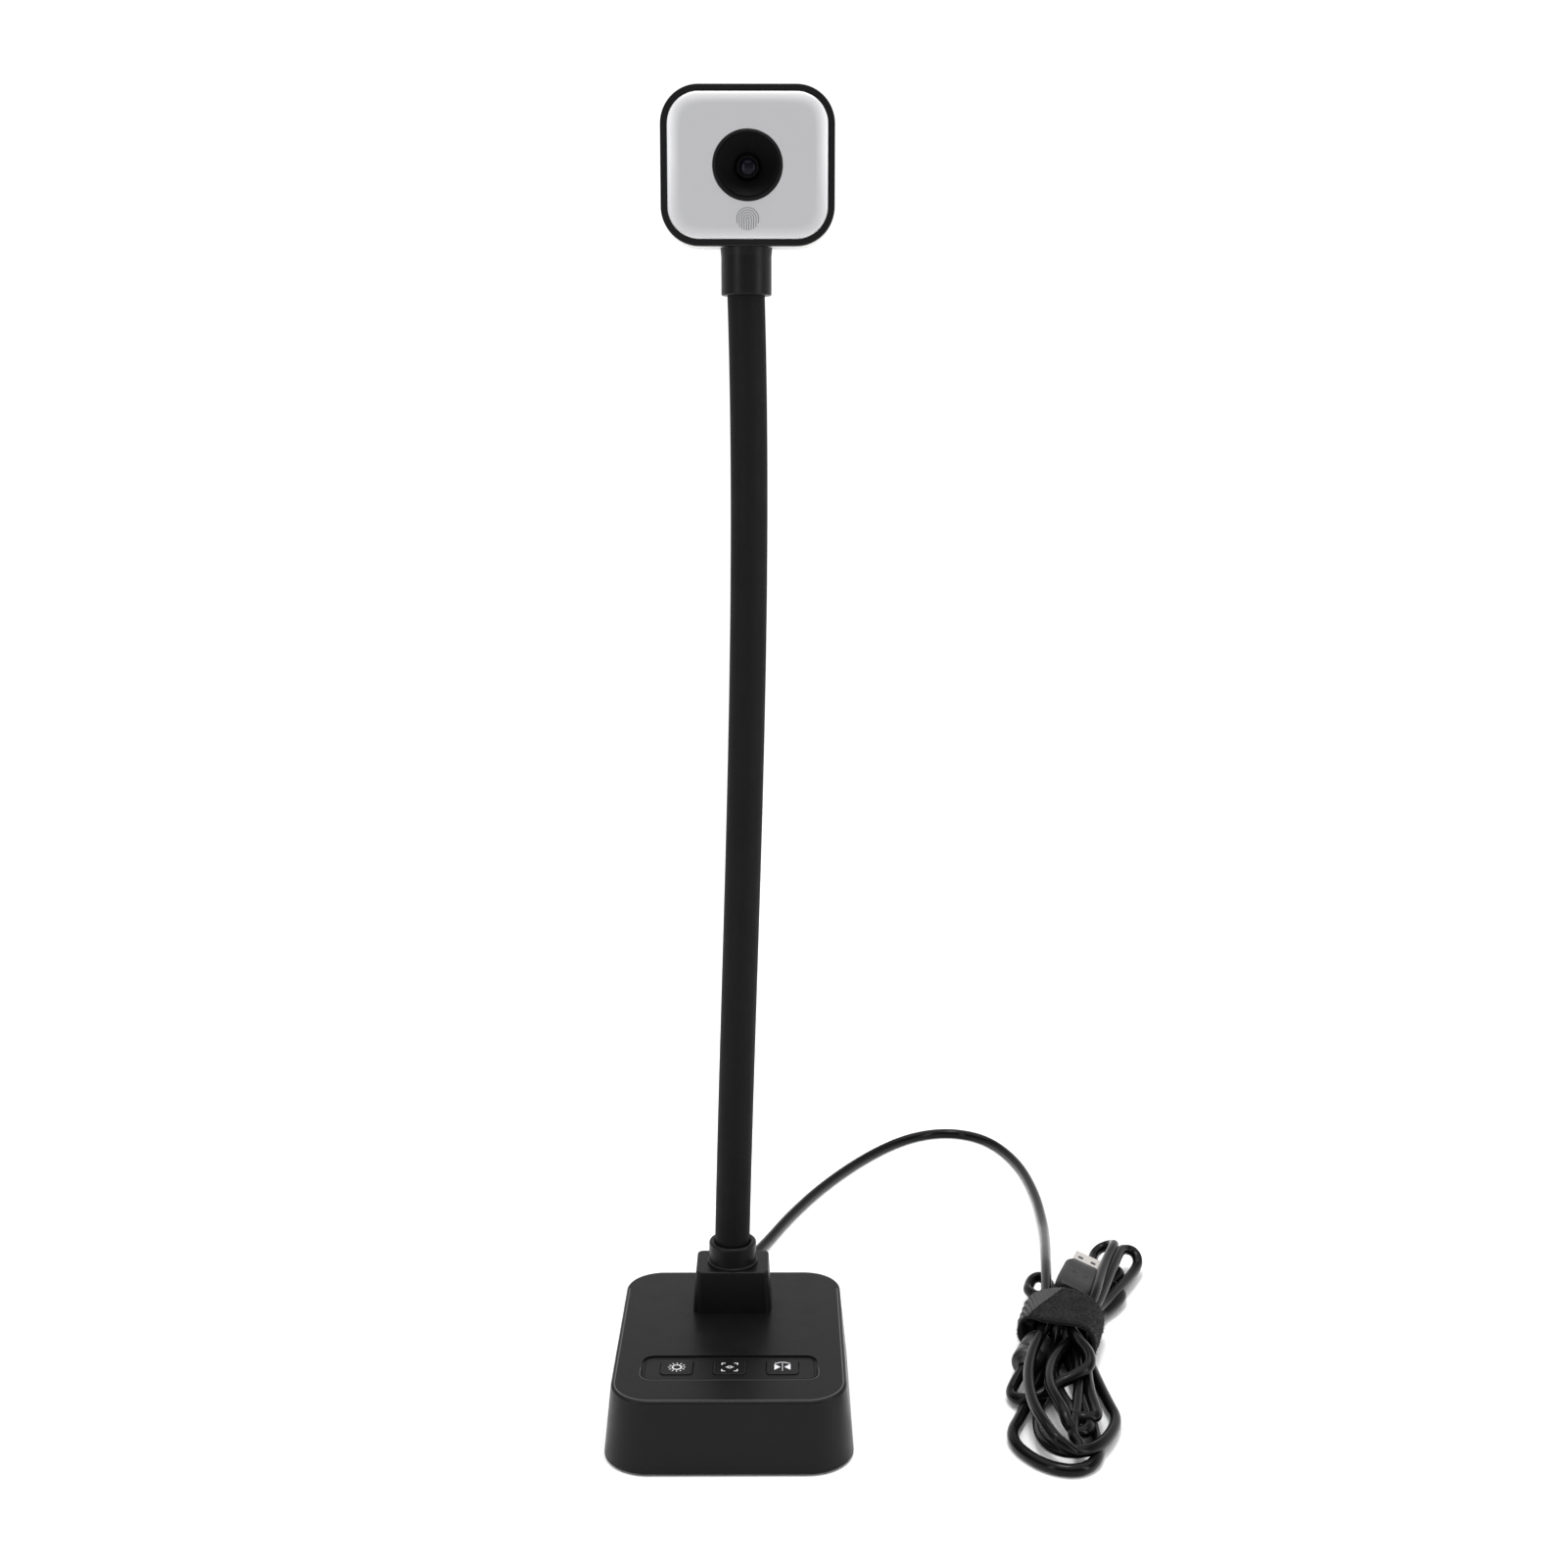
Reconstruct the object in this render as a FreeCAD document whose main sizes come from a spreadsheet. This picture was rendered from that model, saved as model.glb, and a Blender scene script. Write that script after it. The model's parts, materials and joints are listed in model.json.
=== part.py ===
import FreeCAD, Part

# A desktop document camera: a weighted base with three keys, a bendable gooseneck,
# a square camera head with a ring light, and a USB lead tied in a hank beside it.
# Millimetres, +Z up, +X to the right, the front faces -Y.
# The origin is the centre of the base, on the surface that it stands on.

import math
import os
import re

import Sketcher

Vector = FreeCAD.Vector
Rotation = FreeCAD.Rotation
UP = Vector(0, 0, 1)

DIMENSIONS = {
    # base casing, a draughted tray turned upside down
    "base_width": 92.0,
    "base_depth": 110.0,
    "base_corner": 17.2,
    "base_draft": 2.7,
    "base_height": 27.4,
    "base_lift": 1.0,
    "wall": 2.2,
    "top_wall": 2.4,
    "edge_round": 1.0,
    # bottom closure, feet, weight
    "plate_thickness": 2.4,
    "plate_gap": 0.4,
    "foot_radius": 6.5,
    "foot_height": 1.6,
    "foot_spacing_x": 52.0,
    "foot_spacing_y": 70.0,
    "post_radius": 3.2,
    "post_spacing_x": 66.0,
    "post_spacing_y": 84.0,
    "screw_radius": 1.2,
    "screw_head_radius": 2.4,
    "screw_head_height": 1.3,
    "screw_length": 11.0,
    "weight_width": 56.0,
    "weight_depth": 78.0,
    "weight_height": 8.0,
    "weight_y": -5.0,
    # control panel and keys
    "panel_y": -27.3,
    "recess_width": 65.3,
    "recess_depth": 17.8,
    "recess_corner": 4.2,
    "recess_drop": 0.55,
    "panel_width": 62.9,
    "panel_depth": 17.2,
    "panel_corner": 3.5,
    "panel_thickness": 1.0,
    "panel_gap": 0.2,
    "key_y": -26.8,
    "key_pitch": 19.7,
    "key_width": 12.0,
    "key_depth": 10.2,
    "key_corner": 1.5,
    "key_proud": 0.35,
    "key_gap": 0.25,
    "key_flange": 0.6,
    "key_flange_height": 0.6,
    "key_flange_drop": 0.3,
    "key_stem_radius": 1.6,
    "key_stem_height": 0.85,
    # button board
    "board_width": 68.0,
    "board_depth": 20.0,
    "board_thickness": 1.6,
    "board_top": 19.6,
    "board_post_x": 30.5,
    "board_post_radius": 2.6,
    "switch_size": 6.0,
    "switch_height": 3.2,
    "plunger_radius": 1.5,
    "plunger_height": 0.6,
    # square tower that carries the neck
    "tower_y": 26.5,
    "tower_width": 31.1,
    "tower_depth": 22.8,
    "tower_corner": 3.6,
    "tower_draft": 1.2,
    "tower_top": 44.1,
    "tower_round": 0.7,
    "tower_hollow_width": 24.0,
    "tower_hollow_depth": 16.0,
    "tower_hollow_height": 13.0,
    # gooseneck
    "neck_radius": 6.8,
    "neck_bore": 2.6,
    "neck_clearance": 0.3,
    "ball_radius": 7.6,
    "ball_gap": 0.3,
    "first_pivot": 58.0,
    "last_pivot": 417.0,
    "neck_lean_third": 3.7,
    "neck_lean_two_thirds": 6.9,
    "neck_lean_top": 6.6,
    "head_y": 24.5,
    "stem_radius": 5.0,
    "stem_gap": 0.2,
    "lower_stem_bottom": 19.0,
    "collar_radius": 9.4,
    "collar_height": 9.0,
    "collar_seat_radius": 10.0,
    "collar_seat_height": 0.8,
    "collar_round": 0.9,
    "upper_collar_radius": 9.3,
    "upper_collar_bottom": 422.5,
    "upper_shoulder": 430.0,
    "upper_stem_top": 447.5,
    "nut_height": 3.6,
    "lower_nut_radius": 9.2,
    "upper_nut_radius": 7.5,
    # camera head, in its own frame: the centre of the head, front face towards -Y
    "head_x": 7.3,
    "head_z": 468.1,
    "head_width": 63.2,
    "head_height": 57.0,
    "head_corner": 14.0,
    "head_half_depth": 10.5,
    "bezel_depth": 3.0,
    "bezel_border": 2.2,
    "bezel_ledge": 1.6,
    "bezel_round": 0.5,
    "shell_inset": 0.2,
    "shell_wall": 1.8,
    "shell_round": 4.5,
    "diffuser_thickness": 2.0,
    "diffuser_proud": 0.4,
    "diffuser_round": 1.2,
    "diffuser_gap": 0.2,
    "lens_radius": 12.66,
    "lens_hole_gap": 0.14,
    "trim_inner_radius": 11.6,
    "trim_depth": 2.8,
    "trim_proud": 0.25,
    "cone_front_radius": 11.5,
    "cone_back_radius": 5.3,
    "cone_wall": 0.8,
    "cone_depth": 6.5,
    "barrel_radius": 4.0,
    "barrel_length": 7.0,
    "barrel_front": -6.0,
    "barrel_recess_radius": 3.2,
    "barrel_recess_depth": 0.8,
    "barrel_gap": 0.35,
    "actuator_size": 11.6,
    "actuator_front": -3.4,
    "sensor_width": 7.4,
    "sensor_height": 6.4,
    "sensor_thickness": 1.0,
    "sensor_front": 2.0,
    "camera_board_width": 32.0,
    "camera_board_height": 27.0,
    "camera_board_thickness": 1.2,
    "light_board_width": 56.0,
    "light_board_height": 43.0,
    "light_board_corner": 9.0,
    "light_board_thickness": 1.0,
    "light_board_z": 2.5,
    "light_board_back": -5.4,
    "light_board_bore": 10.0,
    "light_post_x": 24.0,
    "light_post_z": 17.0,
    "light_post_radius": 2.4,
    "camera_post_x": 12.0,
    "camera_post_z": 10.0,
    "camera_post_radius": 2.0,
    "light_width": 3.0,
    "light_thickness": 0.7,
    "touch_radius": 4.5,
    "touch_thickness": 0.3,
    "touch_z": -19.2,
    "small_screw_radius": 1.0,
    "small_screw_head_radius": 2.0,
    "small_screw_head_height": 1.2,
    "small_screw_length": 7.0,
    # USB lead
    "cord_radius": 2.25,
    "cord_exit_z": 10.0,
    "relief_length": 22.0,
    "relief_root_radius": 4.0,
    "relief_tip_radius": 3.0,
    "relief_flange_radius": 6.0,
    "relief_flange_height": 1.6,
    "inner_lead_radius": 2.25,
    "harness_radius": 1.4,
    "strap_x": 135.0,
    "strap_y": 43.5,
    "strap_turn": -17.0,
    "strap_width": 33.0,
    "strap_height": 18.0,
    "strap_corner": 8.5,
    "strap_thickness": 1.5,
    "strap_length": 24.0,
    "hank_height": 14.0,
    "waist_length": 70.0,
    "ferrite_radius": 6.3,
    "ferrite_length": 20.0,
    "plug_x": 151.0,
    "plug_y": 88.5,
    "plug_z": 10.8,
    "plug_turn": -19.0,
    "plug_pitch": -5.0,
    "plug_roll": 18.0,
    "plug_bed_depth": 6.4,
    "grip_width": 16.0,
    "grip_height": 8.0,
    "grip_corner": 2.5,
    "grip_length": 30.0,
    "usb_width": 12.0,
    "usb_height": 4.5,
    "usb_length": 12.0,
    "usb_wall": 0.3,
    "tongue_thickness": 1.8,
}

LINK_COUNT = 17

doc = FreeCAD.newDocument("document_camera")
sheet = doc.addObject("Spreadsheet::Sheet", "Sizes")
for row, (alias, number) in enumerate(DIMENSIONS.items(), start=1):
    sheet.set(f"A{row}", alias)
    sheet.set(f"B{row}", str(number))
    sheet.setAlias(f"B{row}", alias)
doc.recompute()

SCRATCH_CELL = "D1"
parts = []


# ---- helpers -------------------------------------------------------------------------

def size(alias):
    """The number that the sheet holds under this alias."""
    return float(sheet.get(alias))


def worked_out(formula):
    """The value of a formula of aliases, worked out by the sheet in a cell that is then cleared."""
    sheet.set(SCRATCH_CELL, f"={formula}")
    sheet.recompute()
    result = float(sheet.get(SCRATCH_CELL))
    sheet.clear(SCRATCH_CELL)
    return result


def linked(formula):
    """The same formula as an expression, each alias written as a cell of the sheet."""
    return re.sub(r"[a-z_][a-z0-9_]*",
                  lambda word: f"Sizes.{word.group()}" if word.group() in DIMENSIONS else word.group(),
                  formula)


def bind(feature, **formulas):
    """Tie a feature's properties to the sheet, one formula each."""
    for name, formula in formulas.items():
        feature.setExpression(name, linked(formula))


def move(feature, at, path="Placement"):
    """Tie a feature's position to the sheet, one formula for each of x, y and z."""
    for axis, formula in zip("xyz", at):
        feature.setExpression(f"{path}.Base.{axis}", linked(formula))


def keep(thing, label):
    """Name a finished sub-part; its label becomes its file's name."""
    thing.Label = label
    parts.append(thing)
    return thing


def new_body(label):
    return keep(doc.addObject("PartDesign::Body", f"{label}_body"), label)


def head_body(label):
    """A body in the head's own frame."""
    body = new_body(label)
    move(body, ("head_x", "head_y", "head_z"))
    return body


def origin_plane(body, role):
    return next(plane for plane in body.Origin.OriginFeatures if plane.Role == role)


def new_sketch(body, name, at, plane="XY_Plane", turn=0.0):
    """An empty sketch on one of the body's planes, moved to `at` in the plane's own axes."""
    sketch = body.newObject("Sketcher::SketchObject", name)
    sketch.AttachmentSupport = [(origin_plane(body, plane), "")]
    sketch.MapMode = "FlatFace"
    sketch.AttachmentOffset = FreeCAD.Placement(Vector(), Rotation(UP, turn))
    move(sketch, at, "AttachmentOffset")
    return sketch


def named(sketch, name, constraint, formula):
    """Add a dimension to a sketch under a name and tie it to the sheet."""
    index = sketch.addConstraint(constraint)
    sketch.renameConstraint(index, name)
    sketch.setExpression(f"Constraints.{name}", linked(formula))


def add_rounded_rectangle(sketch, width, depth, corner):
    """A centred rectangle with equal round corners, drawn anticlockwise: side, corner, side, ..."""
    half_x = worked_out(width) / 2
    half_y = worked_out(depth) / 2
    radius = worked_out(corner)
    flat_x = half_x - radius
    flat_y = half_y - radius
    sides = [((-flat_x, -half_y), (flat_x, -half_y)), ((half_x, -flat_y), (half_x, flat_y)),
             ((flat_x, half_y), (-flat_x, half_y)), ((-half_x, flat_y), (-half_x, -flat_y))]
    corners = [(flat_x, -flat_y), (flat_x, flat_y), (-flat_x, flat_y), (-flat_x, -flat_y)]
    for quarter, ((start, end), (x, y)) in enumerate(zip(sides, corners)):
        sketch.addGeometry(Part.LineSegment(Vector(*start, 0), Vector(*end, 0)))
        circle = Part.Circle(Vector(x, y, 0), UP, radius)
        first = (quarter - 1) * math.pi / 2
        sketch.addGeometry(Part.ArcOfCircle(circle, first, first + math.pi / 2))
    for index in range(8):
        sketch.addConstraint(Sketcher.Constraint("Tangent", index, 2, (index + 1) % 8, 1))
    for index, direction in ((0, "Horizontal"), (2, "Vertical"), (4, "Horizontal"), (6, "Vertical")):
        sketch.addConstraint(Sketcher.Constraint(direction, index))
    sketch.addConstraint(Sketcher.Constraint("Equal", 1, 3))
    sketch.addConstraint(Sketcher.Constraint("Equal", 3, 5))
    sketch.addConstraint(Sketcher.Constraint("Symmetric", 1, 3, 5, 3, -1, 1))
    named(sketch, "corner", Sketcher.Constraint("Radius", 1, radius), corner)
    named(sketch, "width", Sketcher.Constraint("DistanceX", 6, 1, 2, 1, 2 * half_x), width)
    named(sketch, "depth", Sketcher.Constraint("DistanceY", 0, 1, 4, 1, 2 * half_y), depth)


def rectangle_sketch(body, name, width, depth, corner, at=("0", "0", "0"), plane="XY_Plane", turn=0.0):
    sketch = new_sketch(body, name, at, plane, turn)
    add_rounded_rectangle(sketch, width, depth, corner)
    return sketch


def circle_sketch(body, name, radius, at=("0", "0", "0"), plane="XY_Plane"):
    sketch = new_sketch(body, name, at, plane)
    sketch.addGeometry(Part.Circle(Vector(), UP, worked_out(radius)))
    sketch.addConstraint(Sketcher.Constraint("Coincident", 0, 3, -1, 1))
    named(sketch, "radius", Sketcher.Constraint("Radius", 0, worked_out(radius)), radius)
    return sketch


def four_circles_sketch(body, name, radius, half_x, half_y, at=("0", "0", "0"), plane="XY_Plane"):
    """Four equal circles on the corners of a centred rectangle."""
    sketch = new_sketch(body, name, at, plane)
    across = worked_out(half_x)
    along = worked_out(half_y)
    for index, (x, y) in enumerate(((across, along), (-across, along), (-across, -along), (across, -along))):
        sketch.addGeometry(Part.Circle(Vector(x, y, 0), UP, worked_out(radius)))
        if index:
            sketch.addConstraint(Sketcher.Constraint("Equal", 0, index))
    sketch.addConstraint(Sketcher.Constraint("Symmetric", 0, 3, 1, 3, -2))
    sketch.addConstraint(Sketcher.Constraint("Symmetric", 2, 3, 3, 3, -2))
    sketch.addConstraint(Sketcher.Constraint("Symmetric", 1, 3, 2, 3, -1))
    named(sketch, "radius", Sketcher.Constraint("Radius", 0, worked_out(radius)), radius)
    named(sketch, "across", Sketcher.Constraint("DistanceX", -1, 1, 0, 3, across), half_x)
    named(sketch, "along", Sketcher.Constraint("DistanceY", -1, 1, 0, 3, along), half_y)
    return sketch


def polygon_sketch(body, name, points, at=("0", "0", "0"), plane="XZ_Plane"):
    """A closed outline of straight sides; each point is two formulas that are never negative."""
    sketch = new_sketch(body, name, at, plane)
    places = [(worked_out(x), worked_out(y)) for x, y in points]
    count = len(points)
    for index, (x, y) in enumerate(places):
        next_x, next_y = places[(index + 1) % count]
        sketch.addGeometry(Part.LineSegment(Vector(x, y, 0), Vector(next_x, next_y, 0)))
    for index in range(count):
        sketch.addConstraint(Sketcher.Constraint("Coincident", index, 2, (index + 1) % count, 1))
    for index, ((x, y), (formula_x, formula_y)) in enumerate(zip(places, points)):
        named(sketch, f"x{index}", Sketcher.Constraint("DistanceX", -1, 1, index, 1, x), formula_x)
        named(sketch, f"y{index}", Sketcher.Constraint("DistanceY", -1, 1, index, 1, y), formula_y)
    return sketch


def pad(body, sketch, length, reverse=False, narrows="0"):
    """Extrude a sketch along its normal, or against it; each side draws in by `narrows`."""
    feature = body.newObject("PartDesign::Pad", f"{sketch.Name}_pad")
    feature.Profile = sketch
    feature.Reversed = reverse
    bind(feature, Length=length, TaperAngle=f"-atan(({narrows}) / ({length}))")
    return feature


def pocket(body, sketch, length, along_normal=False, narrows="0"):
    """Cut a sketch into the body, against the sketch's normal unless told otherwise."""
    doc.recompute()
    before = body.Shape.Volume
    feature = body.newObject("PartDesign::Pocket", f"{sketch.Name}_pocket")
    feature.Profile = sketch
    feature.Reversed = along_normal
    bind(feature, Length=length, TaperAngle=f"-atan(({narrows}) / ({length}))")
    doc.recompute()
    if body.Shape.Volume > before - 1e-6:
        raise RuntimeError(f"{feature.Name} cuts nothing")
    return feature


def revolve(body, sketch):
    """Turn a profile about the sketch's own vertical axis."""
    feature = body.newObject("PartDesign::Revolution", f"{sketch.Name}_turned")
    feature.Profile = sketch
    feature.ReferenceAxis = (sketch, ["V_Axis"])
    feature.Angle = 360.0
    return feature


def round_edges(body, radius, chosen):
    """Fillet the edges of the body's last feature that `chosen` accepts."""
    doc.recompute()
    last = body.Tip
    edges = [f"Edge{number}" for number, edge in enumerate(last.Shape.Edges, start=1) if chosen(edge)]
    feature = body.newObject("PartDesign::Fillet", f"{last.Name}_round")
    feature.Base = (last, edges)
    bind(feature, Radius=radius)
    return feature


def level_edge(axis, level, least_reach=0.0):
    """A test for edges that lie in one plane, further than `least_reach` from that axis."""
    def test(edge):
        box = edge.BoundBox
        low = getattr(box, f"{axis}Min")
        high = getattr(box, f"{axis}Max")
        others = [name for name in "XYZ" if name != axis]
        reach = max(max(abs(getattr(box, f"{name}Min")), abs(getattr(box, f"{name}Max"))) for name in others)
        return abs(low - level) < 1e-4 and abs(high - level) < 1e-4 and reach > least_reach
    return test


def primitive(body, kind, name, at=("0", "0", "0"), **formulas):
    """An additive or subtractive primitive of a body, such as AdditiveCylinder."""
    feature = body.newObject(f"PartDesign::{kind}", name)
    bind(feature, **formulas)
    move(feature, at)
    return feature


def rounded_slab(label, width, depth, corner, thickness, at=("0", "0", "0")):
    """A flat plate with round corners; `at` is the middle of its underside."""
    body = new_body(label)
    pad(body, rectangle_sketch(body, f"{label}_outline", width, depth, corner, at), thickness)
    return body


def solid_box(name, length, width, height, at):
    """A plain box; `at` is the middle of its underside."""
    box = doc.addObject("Part::Box", name)
    bind(box, Length=length, Width=width, Height=height)
    move(box, (f"{at[0]} - ({length}) / 2", f"{at[1]} - ({width}) / 2", at[2]))
    return box


def solid_cylinder(name, radius, height, at):
    cylinder = doc.addObject("Part::Cylinder", name)
    bind(cylinder, Radius=radius, Height=height)
    move(cylinder, at)
    return cylinder


def fused(name, pieces):
    union = doc.addObject("Part::MultiFuse", name)
    union.Shapes = pieces
    return union


def group(name, pieces):
    """Separate solids that share one node."""
    compound = doc.addObject("Part::Compound", name)
    compound.Links = pieces
    return compound


def rounded_route(points):
    """Straight runs joined by tangent arcs, each arc as large as its two runs allow."""
    corners = [Vector(*point) for point in points]
    edges = []
    radii = []
    last = corners[0]
    for before, corner, after in zip(corners, corners[1:], corners[2:]):
        come = corner - before
        leave = after - corner
        shorter = min(come.Length, leave.Length)
        half_turn = come.getAngle(leave) / 2
        setback = 0.45 * shorter
        radii.append(setback / math.tan(half_turn))
        come.normalize()
        leave.normalize()
        start = corner - come * setback
        end = corner + leave * setback
        outward = come - leave
        outward.normalize()
        rise = radii[-1] * (1 / math.cos(half_turn) - 1)
        middle = corner - outward * rise
        edges.append(Part.LineSegment(last, start).toShape())
        edges.append(Part.Arc(start, middle, end).toShape())
        last = end
    edges.append(Part.LineSegment(last, corners[-1]).toShape())
    return Part.Wire(edges), radii


def tube(label, points, radius):
    """A round lead along a route; its volume is compared with its section times its length."""
    path, radii = rounded_route(points)
    start = Vector(*points[0])
    direction = Vector(*points[1]) - start
    ring = Part.Wire([Part.Circle(start, direction, radius).toShape()])
    shape = path.makePipeShell([ring], True, False)
    expected = math.pi * radius ** 2 * path.Length
    if abs(shape.Volume / expected - 1) > 0.005:
        raise RuntimeError(f"{label} has volume {shape.Volume:.1f}, not {expected:.1f}")
    feature = doc.addObject("Part::Feature", f"{label}_shape")
    feature.Shape = shape
    feature.Placement = FreeCAD.Placement()
    print(label, f"length {path.Length:.0f} mm, radii", [round(value, 1) for value in radii])
    return keep(feature, label)


# ---- base ----------------------------------------------------------------------------

def base_cover():
    """The casing: outer and inner draughted walls, posts, and the openings in its top and back."""
    body = new_body("base_cover")
    outside = rectangle_sketch(body, "cover_foot", "base_width", "base_depth", "base_corner",
                               ("0", "0", "base_lift"))
    pad(body, outside, "base_height - base_lift", narrows="base_draft")
    round_edges(body, "edge_round", level_edge("Z", size("base_height")))
    inside = rectangle_sketch(body, "cavity_foot", "base_width - 2 * wall", "base_depth - 2 * wall",
                              "base_corner - wall", ("0", "0", "base_lift"))
    pocket(body, inside, "base_height - top_wall - base_lift", along_normal=True, narrows="base_draft")
    posts = four_circles_sketch(body, "cover_posts", "post_radius", "post_spacing_x / 2", "post_spacing_y / 2",
                                ("0", "0", "base_lift + plate_thickness"))
    pad(body, posts, "base_height - top_wall - base_lift - plate_thickness + 0.2")
    pilots = four_circles_sketch(body, "cover_pilots", "screw_radius + 0.05", "post_spacing_x / 2",
                                 "post_spacing_y / 2", ("0", "0", "base_lift + plate_thickness"))
    pocket(body, pilots, "screw_length", along_normal=True)
    for side, sign in (("left", "-"), ("right", "")):
        spot = (f"{sign}board_post_x", "key_y", "board_top")
        pad(body, circle_sketch(body, f"board_post_{side}", "board_post_radius", spot),
            "base_height - top_wall - board_top + 0.2")
        pocket(body, circle_sketch(body, f"board_pilot_{side}", "small_screw_radius + 0.05", spot),
               "small_screw_length - board_thickness", along_normal=True)
    recess = rectangle_sketch(body, "recess", "recess_width", "recess_depth", "recess_corner",
                              ("0", "panel_y", "base_height"))
    pocket(body, recess, "recess_drop")
    seat = rectangle_sketch(body, "seat", "panel_width + 2 * panel_gap", "panel_depth + 2 * panel_gap",
                            "panel_corner + panel_gap", ("0", "panel_y", "base_height"))
    pocket(body, seat, "recess_drop + panel_thickness")
    for column, place in enumerate(("-key_pitch", "0", "key_pitch")):
        window = rectangle_sketch(body, f"key_window_{column}", "key_width + 1.8", "key_depth + 1.8",
                                  "key_corner + 0.9", (place, "key_y", "base_height"))
        pocket(body, window, "top_wall + 0.2")
    pocket(body, circle_sketch(body, "neck_hole", "stem_radius + stem_gap", ("0", "tower_y", "base_height")),
           "top_wall + 0.2")
    cable_hole = circle_sketch(body, "cable_hole", "relief_root_radius + 0.05",
                               ("0", "cord_exit_z", "-(base_depth / 2 + 1)"), "XZ_Plane")
    pocket(body, cable_hole, "wall + 3", along_normal=True)


def base_plate():
    """The closure under the base, with recesses for the feet and holes for the screws."""
    body = rounded_slab("base_plate", "base_width - 2 * wall - 2 * plate_gap",
                        "base_depth - 2 * wall - 2 * plate_gap", "base_corner - wall - plate_gap",
                        "plate_thickness", ("0", "0", "base_lift"))
    seats = four_circles_sketch(body, "foot_seats", "foot_radius + 0.1", "foot_spacing_x / 2",
                                "foot_spacing_y / 2", ("0", "0", "base_lift"))
    pocket(body, seats, "foot_height - base_lift", along_normal=True)
    sinks = four_circles_sketch(body, "screw_sinks", "screw_head_radius + 0.2", "post_spacing_x / 2",
                                "post_spacing_y / 2", ("0", "0", "base_lift"))
    pocket(body, sinks, "screw_head_height", along_normal=True)
    holes = four_circles_sketch(body, "screw_holes", "screw_radius + 0.1", "post_spacing_x / 2",
                                "post_spacing_y / 2", ("0", "0", "base_lift"))
    pocket(body, holes, "plate_thickness + 1", along_normal=True)


def rubber_feet():
    body = new_body("rubber_feet")
    pad(body, four_circles_sketch(body, "feet", "foot_radius", "foot_spacing_x / 2", "foot_spacing_y / 2"),
        "foot_height")


def base_screws():
    """Four screws, heads down, that hold the closure to the posts of the casing."""
    screws = []
    for across in ("-", ""):
        for along in ("-", ""):
            x = f"{across}post_spacing_x / 2"
            y = f"{along}post_spacing_y / 2"
            name = f"base_screw_{len(screws) + 1}"
            head = solid_cylinder(f"{name}_head", "screw_head_radius", "screw_head_height",
                                  (x, y, "base_lift"))
            shank = solid_cylinder(f"{name}_shank", "screw_radius", "screw_length - 0.3",
                                   (x, y, "base_lift + screw_head_height"))
            screws.append(fused(name, [head, shank]))
    keep(group("base_screw_set", screws), "base_screws")


def counterweight():
    rounded_slab("counterweight", "weight_width", "weight_depth", "6", "weight_height",
                 ("0", "weight_y", "base_lift + plate_thickness"))


# ---- control panel and keys ----------------------------------------------------------

KEY_PLACES = {"brightness_button": "-key_pitch", "focus_button": "0", "mirror_button": "key_pitch"}
PANEL_TOP = "base_height - recess_drop"
FLANGE_TOP = f"{PANEL_TOP} - panel_thickness - key_flange_drop"


def control_panel():
    body = rounded_slab("control_panel", "panel_width", "panel_depth", "panel_corner", "panel_thickness",
                        ("0", "panel_y", f"{PANEL_TOP} - panel_thickness"))
    for label, place in KEY_PLACES.items():
        opening = rectangle_sketch(body, f"{label}_opening", "key_width + 2 * key_gap",
                                   "key_depth + 2 * key_gap", "key_corner + key_gap",
                                   (place, "key_y", PANEL_TOP))
        pocket(body, opening, "panel_thickness + 0.1")


def key(label, place):
    """A key: a cap that shows, a flange that keeps it under the panel, a stem over its switch."""
    body = new_body(label)
    cap = rectangle_sketch(body, f"{label}_cap", "key_width", "key_depth", "key_corner",
                           (place, "key_y", FLANGE_TOP))
    pad(body, cap, "panel_thickness + key_flange_drop + key_proud")
    doc.recompute()
    round_edges(body, "0.3", level_edge("Z", worked_out(f"{PANEL_TOP} + key_proud")))
    flange = rectangle_sketch(body, f"{label}_flange", "key_width + 2 * key_flange",
                              "key_depth + 2 * key_flange", "key_corner + key_flange",
                              (place, "key_y", FLANGE_TOP))
    pad(body, flange, "key_flange_height", reverse=True)
    stem = circle_sketch(body, f"{label}_stem", "key_stem_radius",
                         (place, "key_y", f"{FLANGE_TOP} - key_flange_height"))
    pad(body, stem, "key_stem_height", reverse=True)


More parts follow.
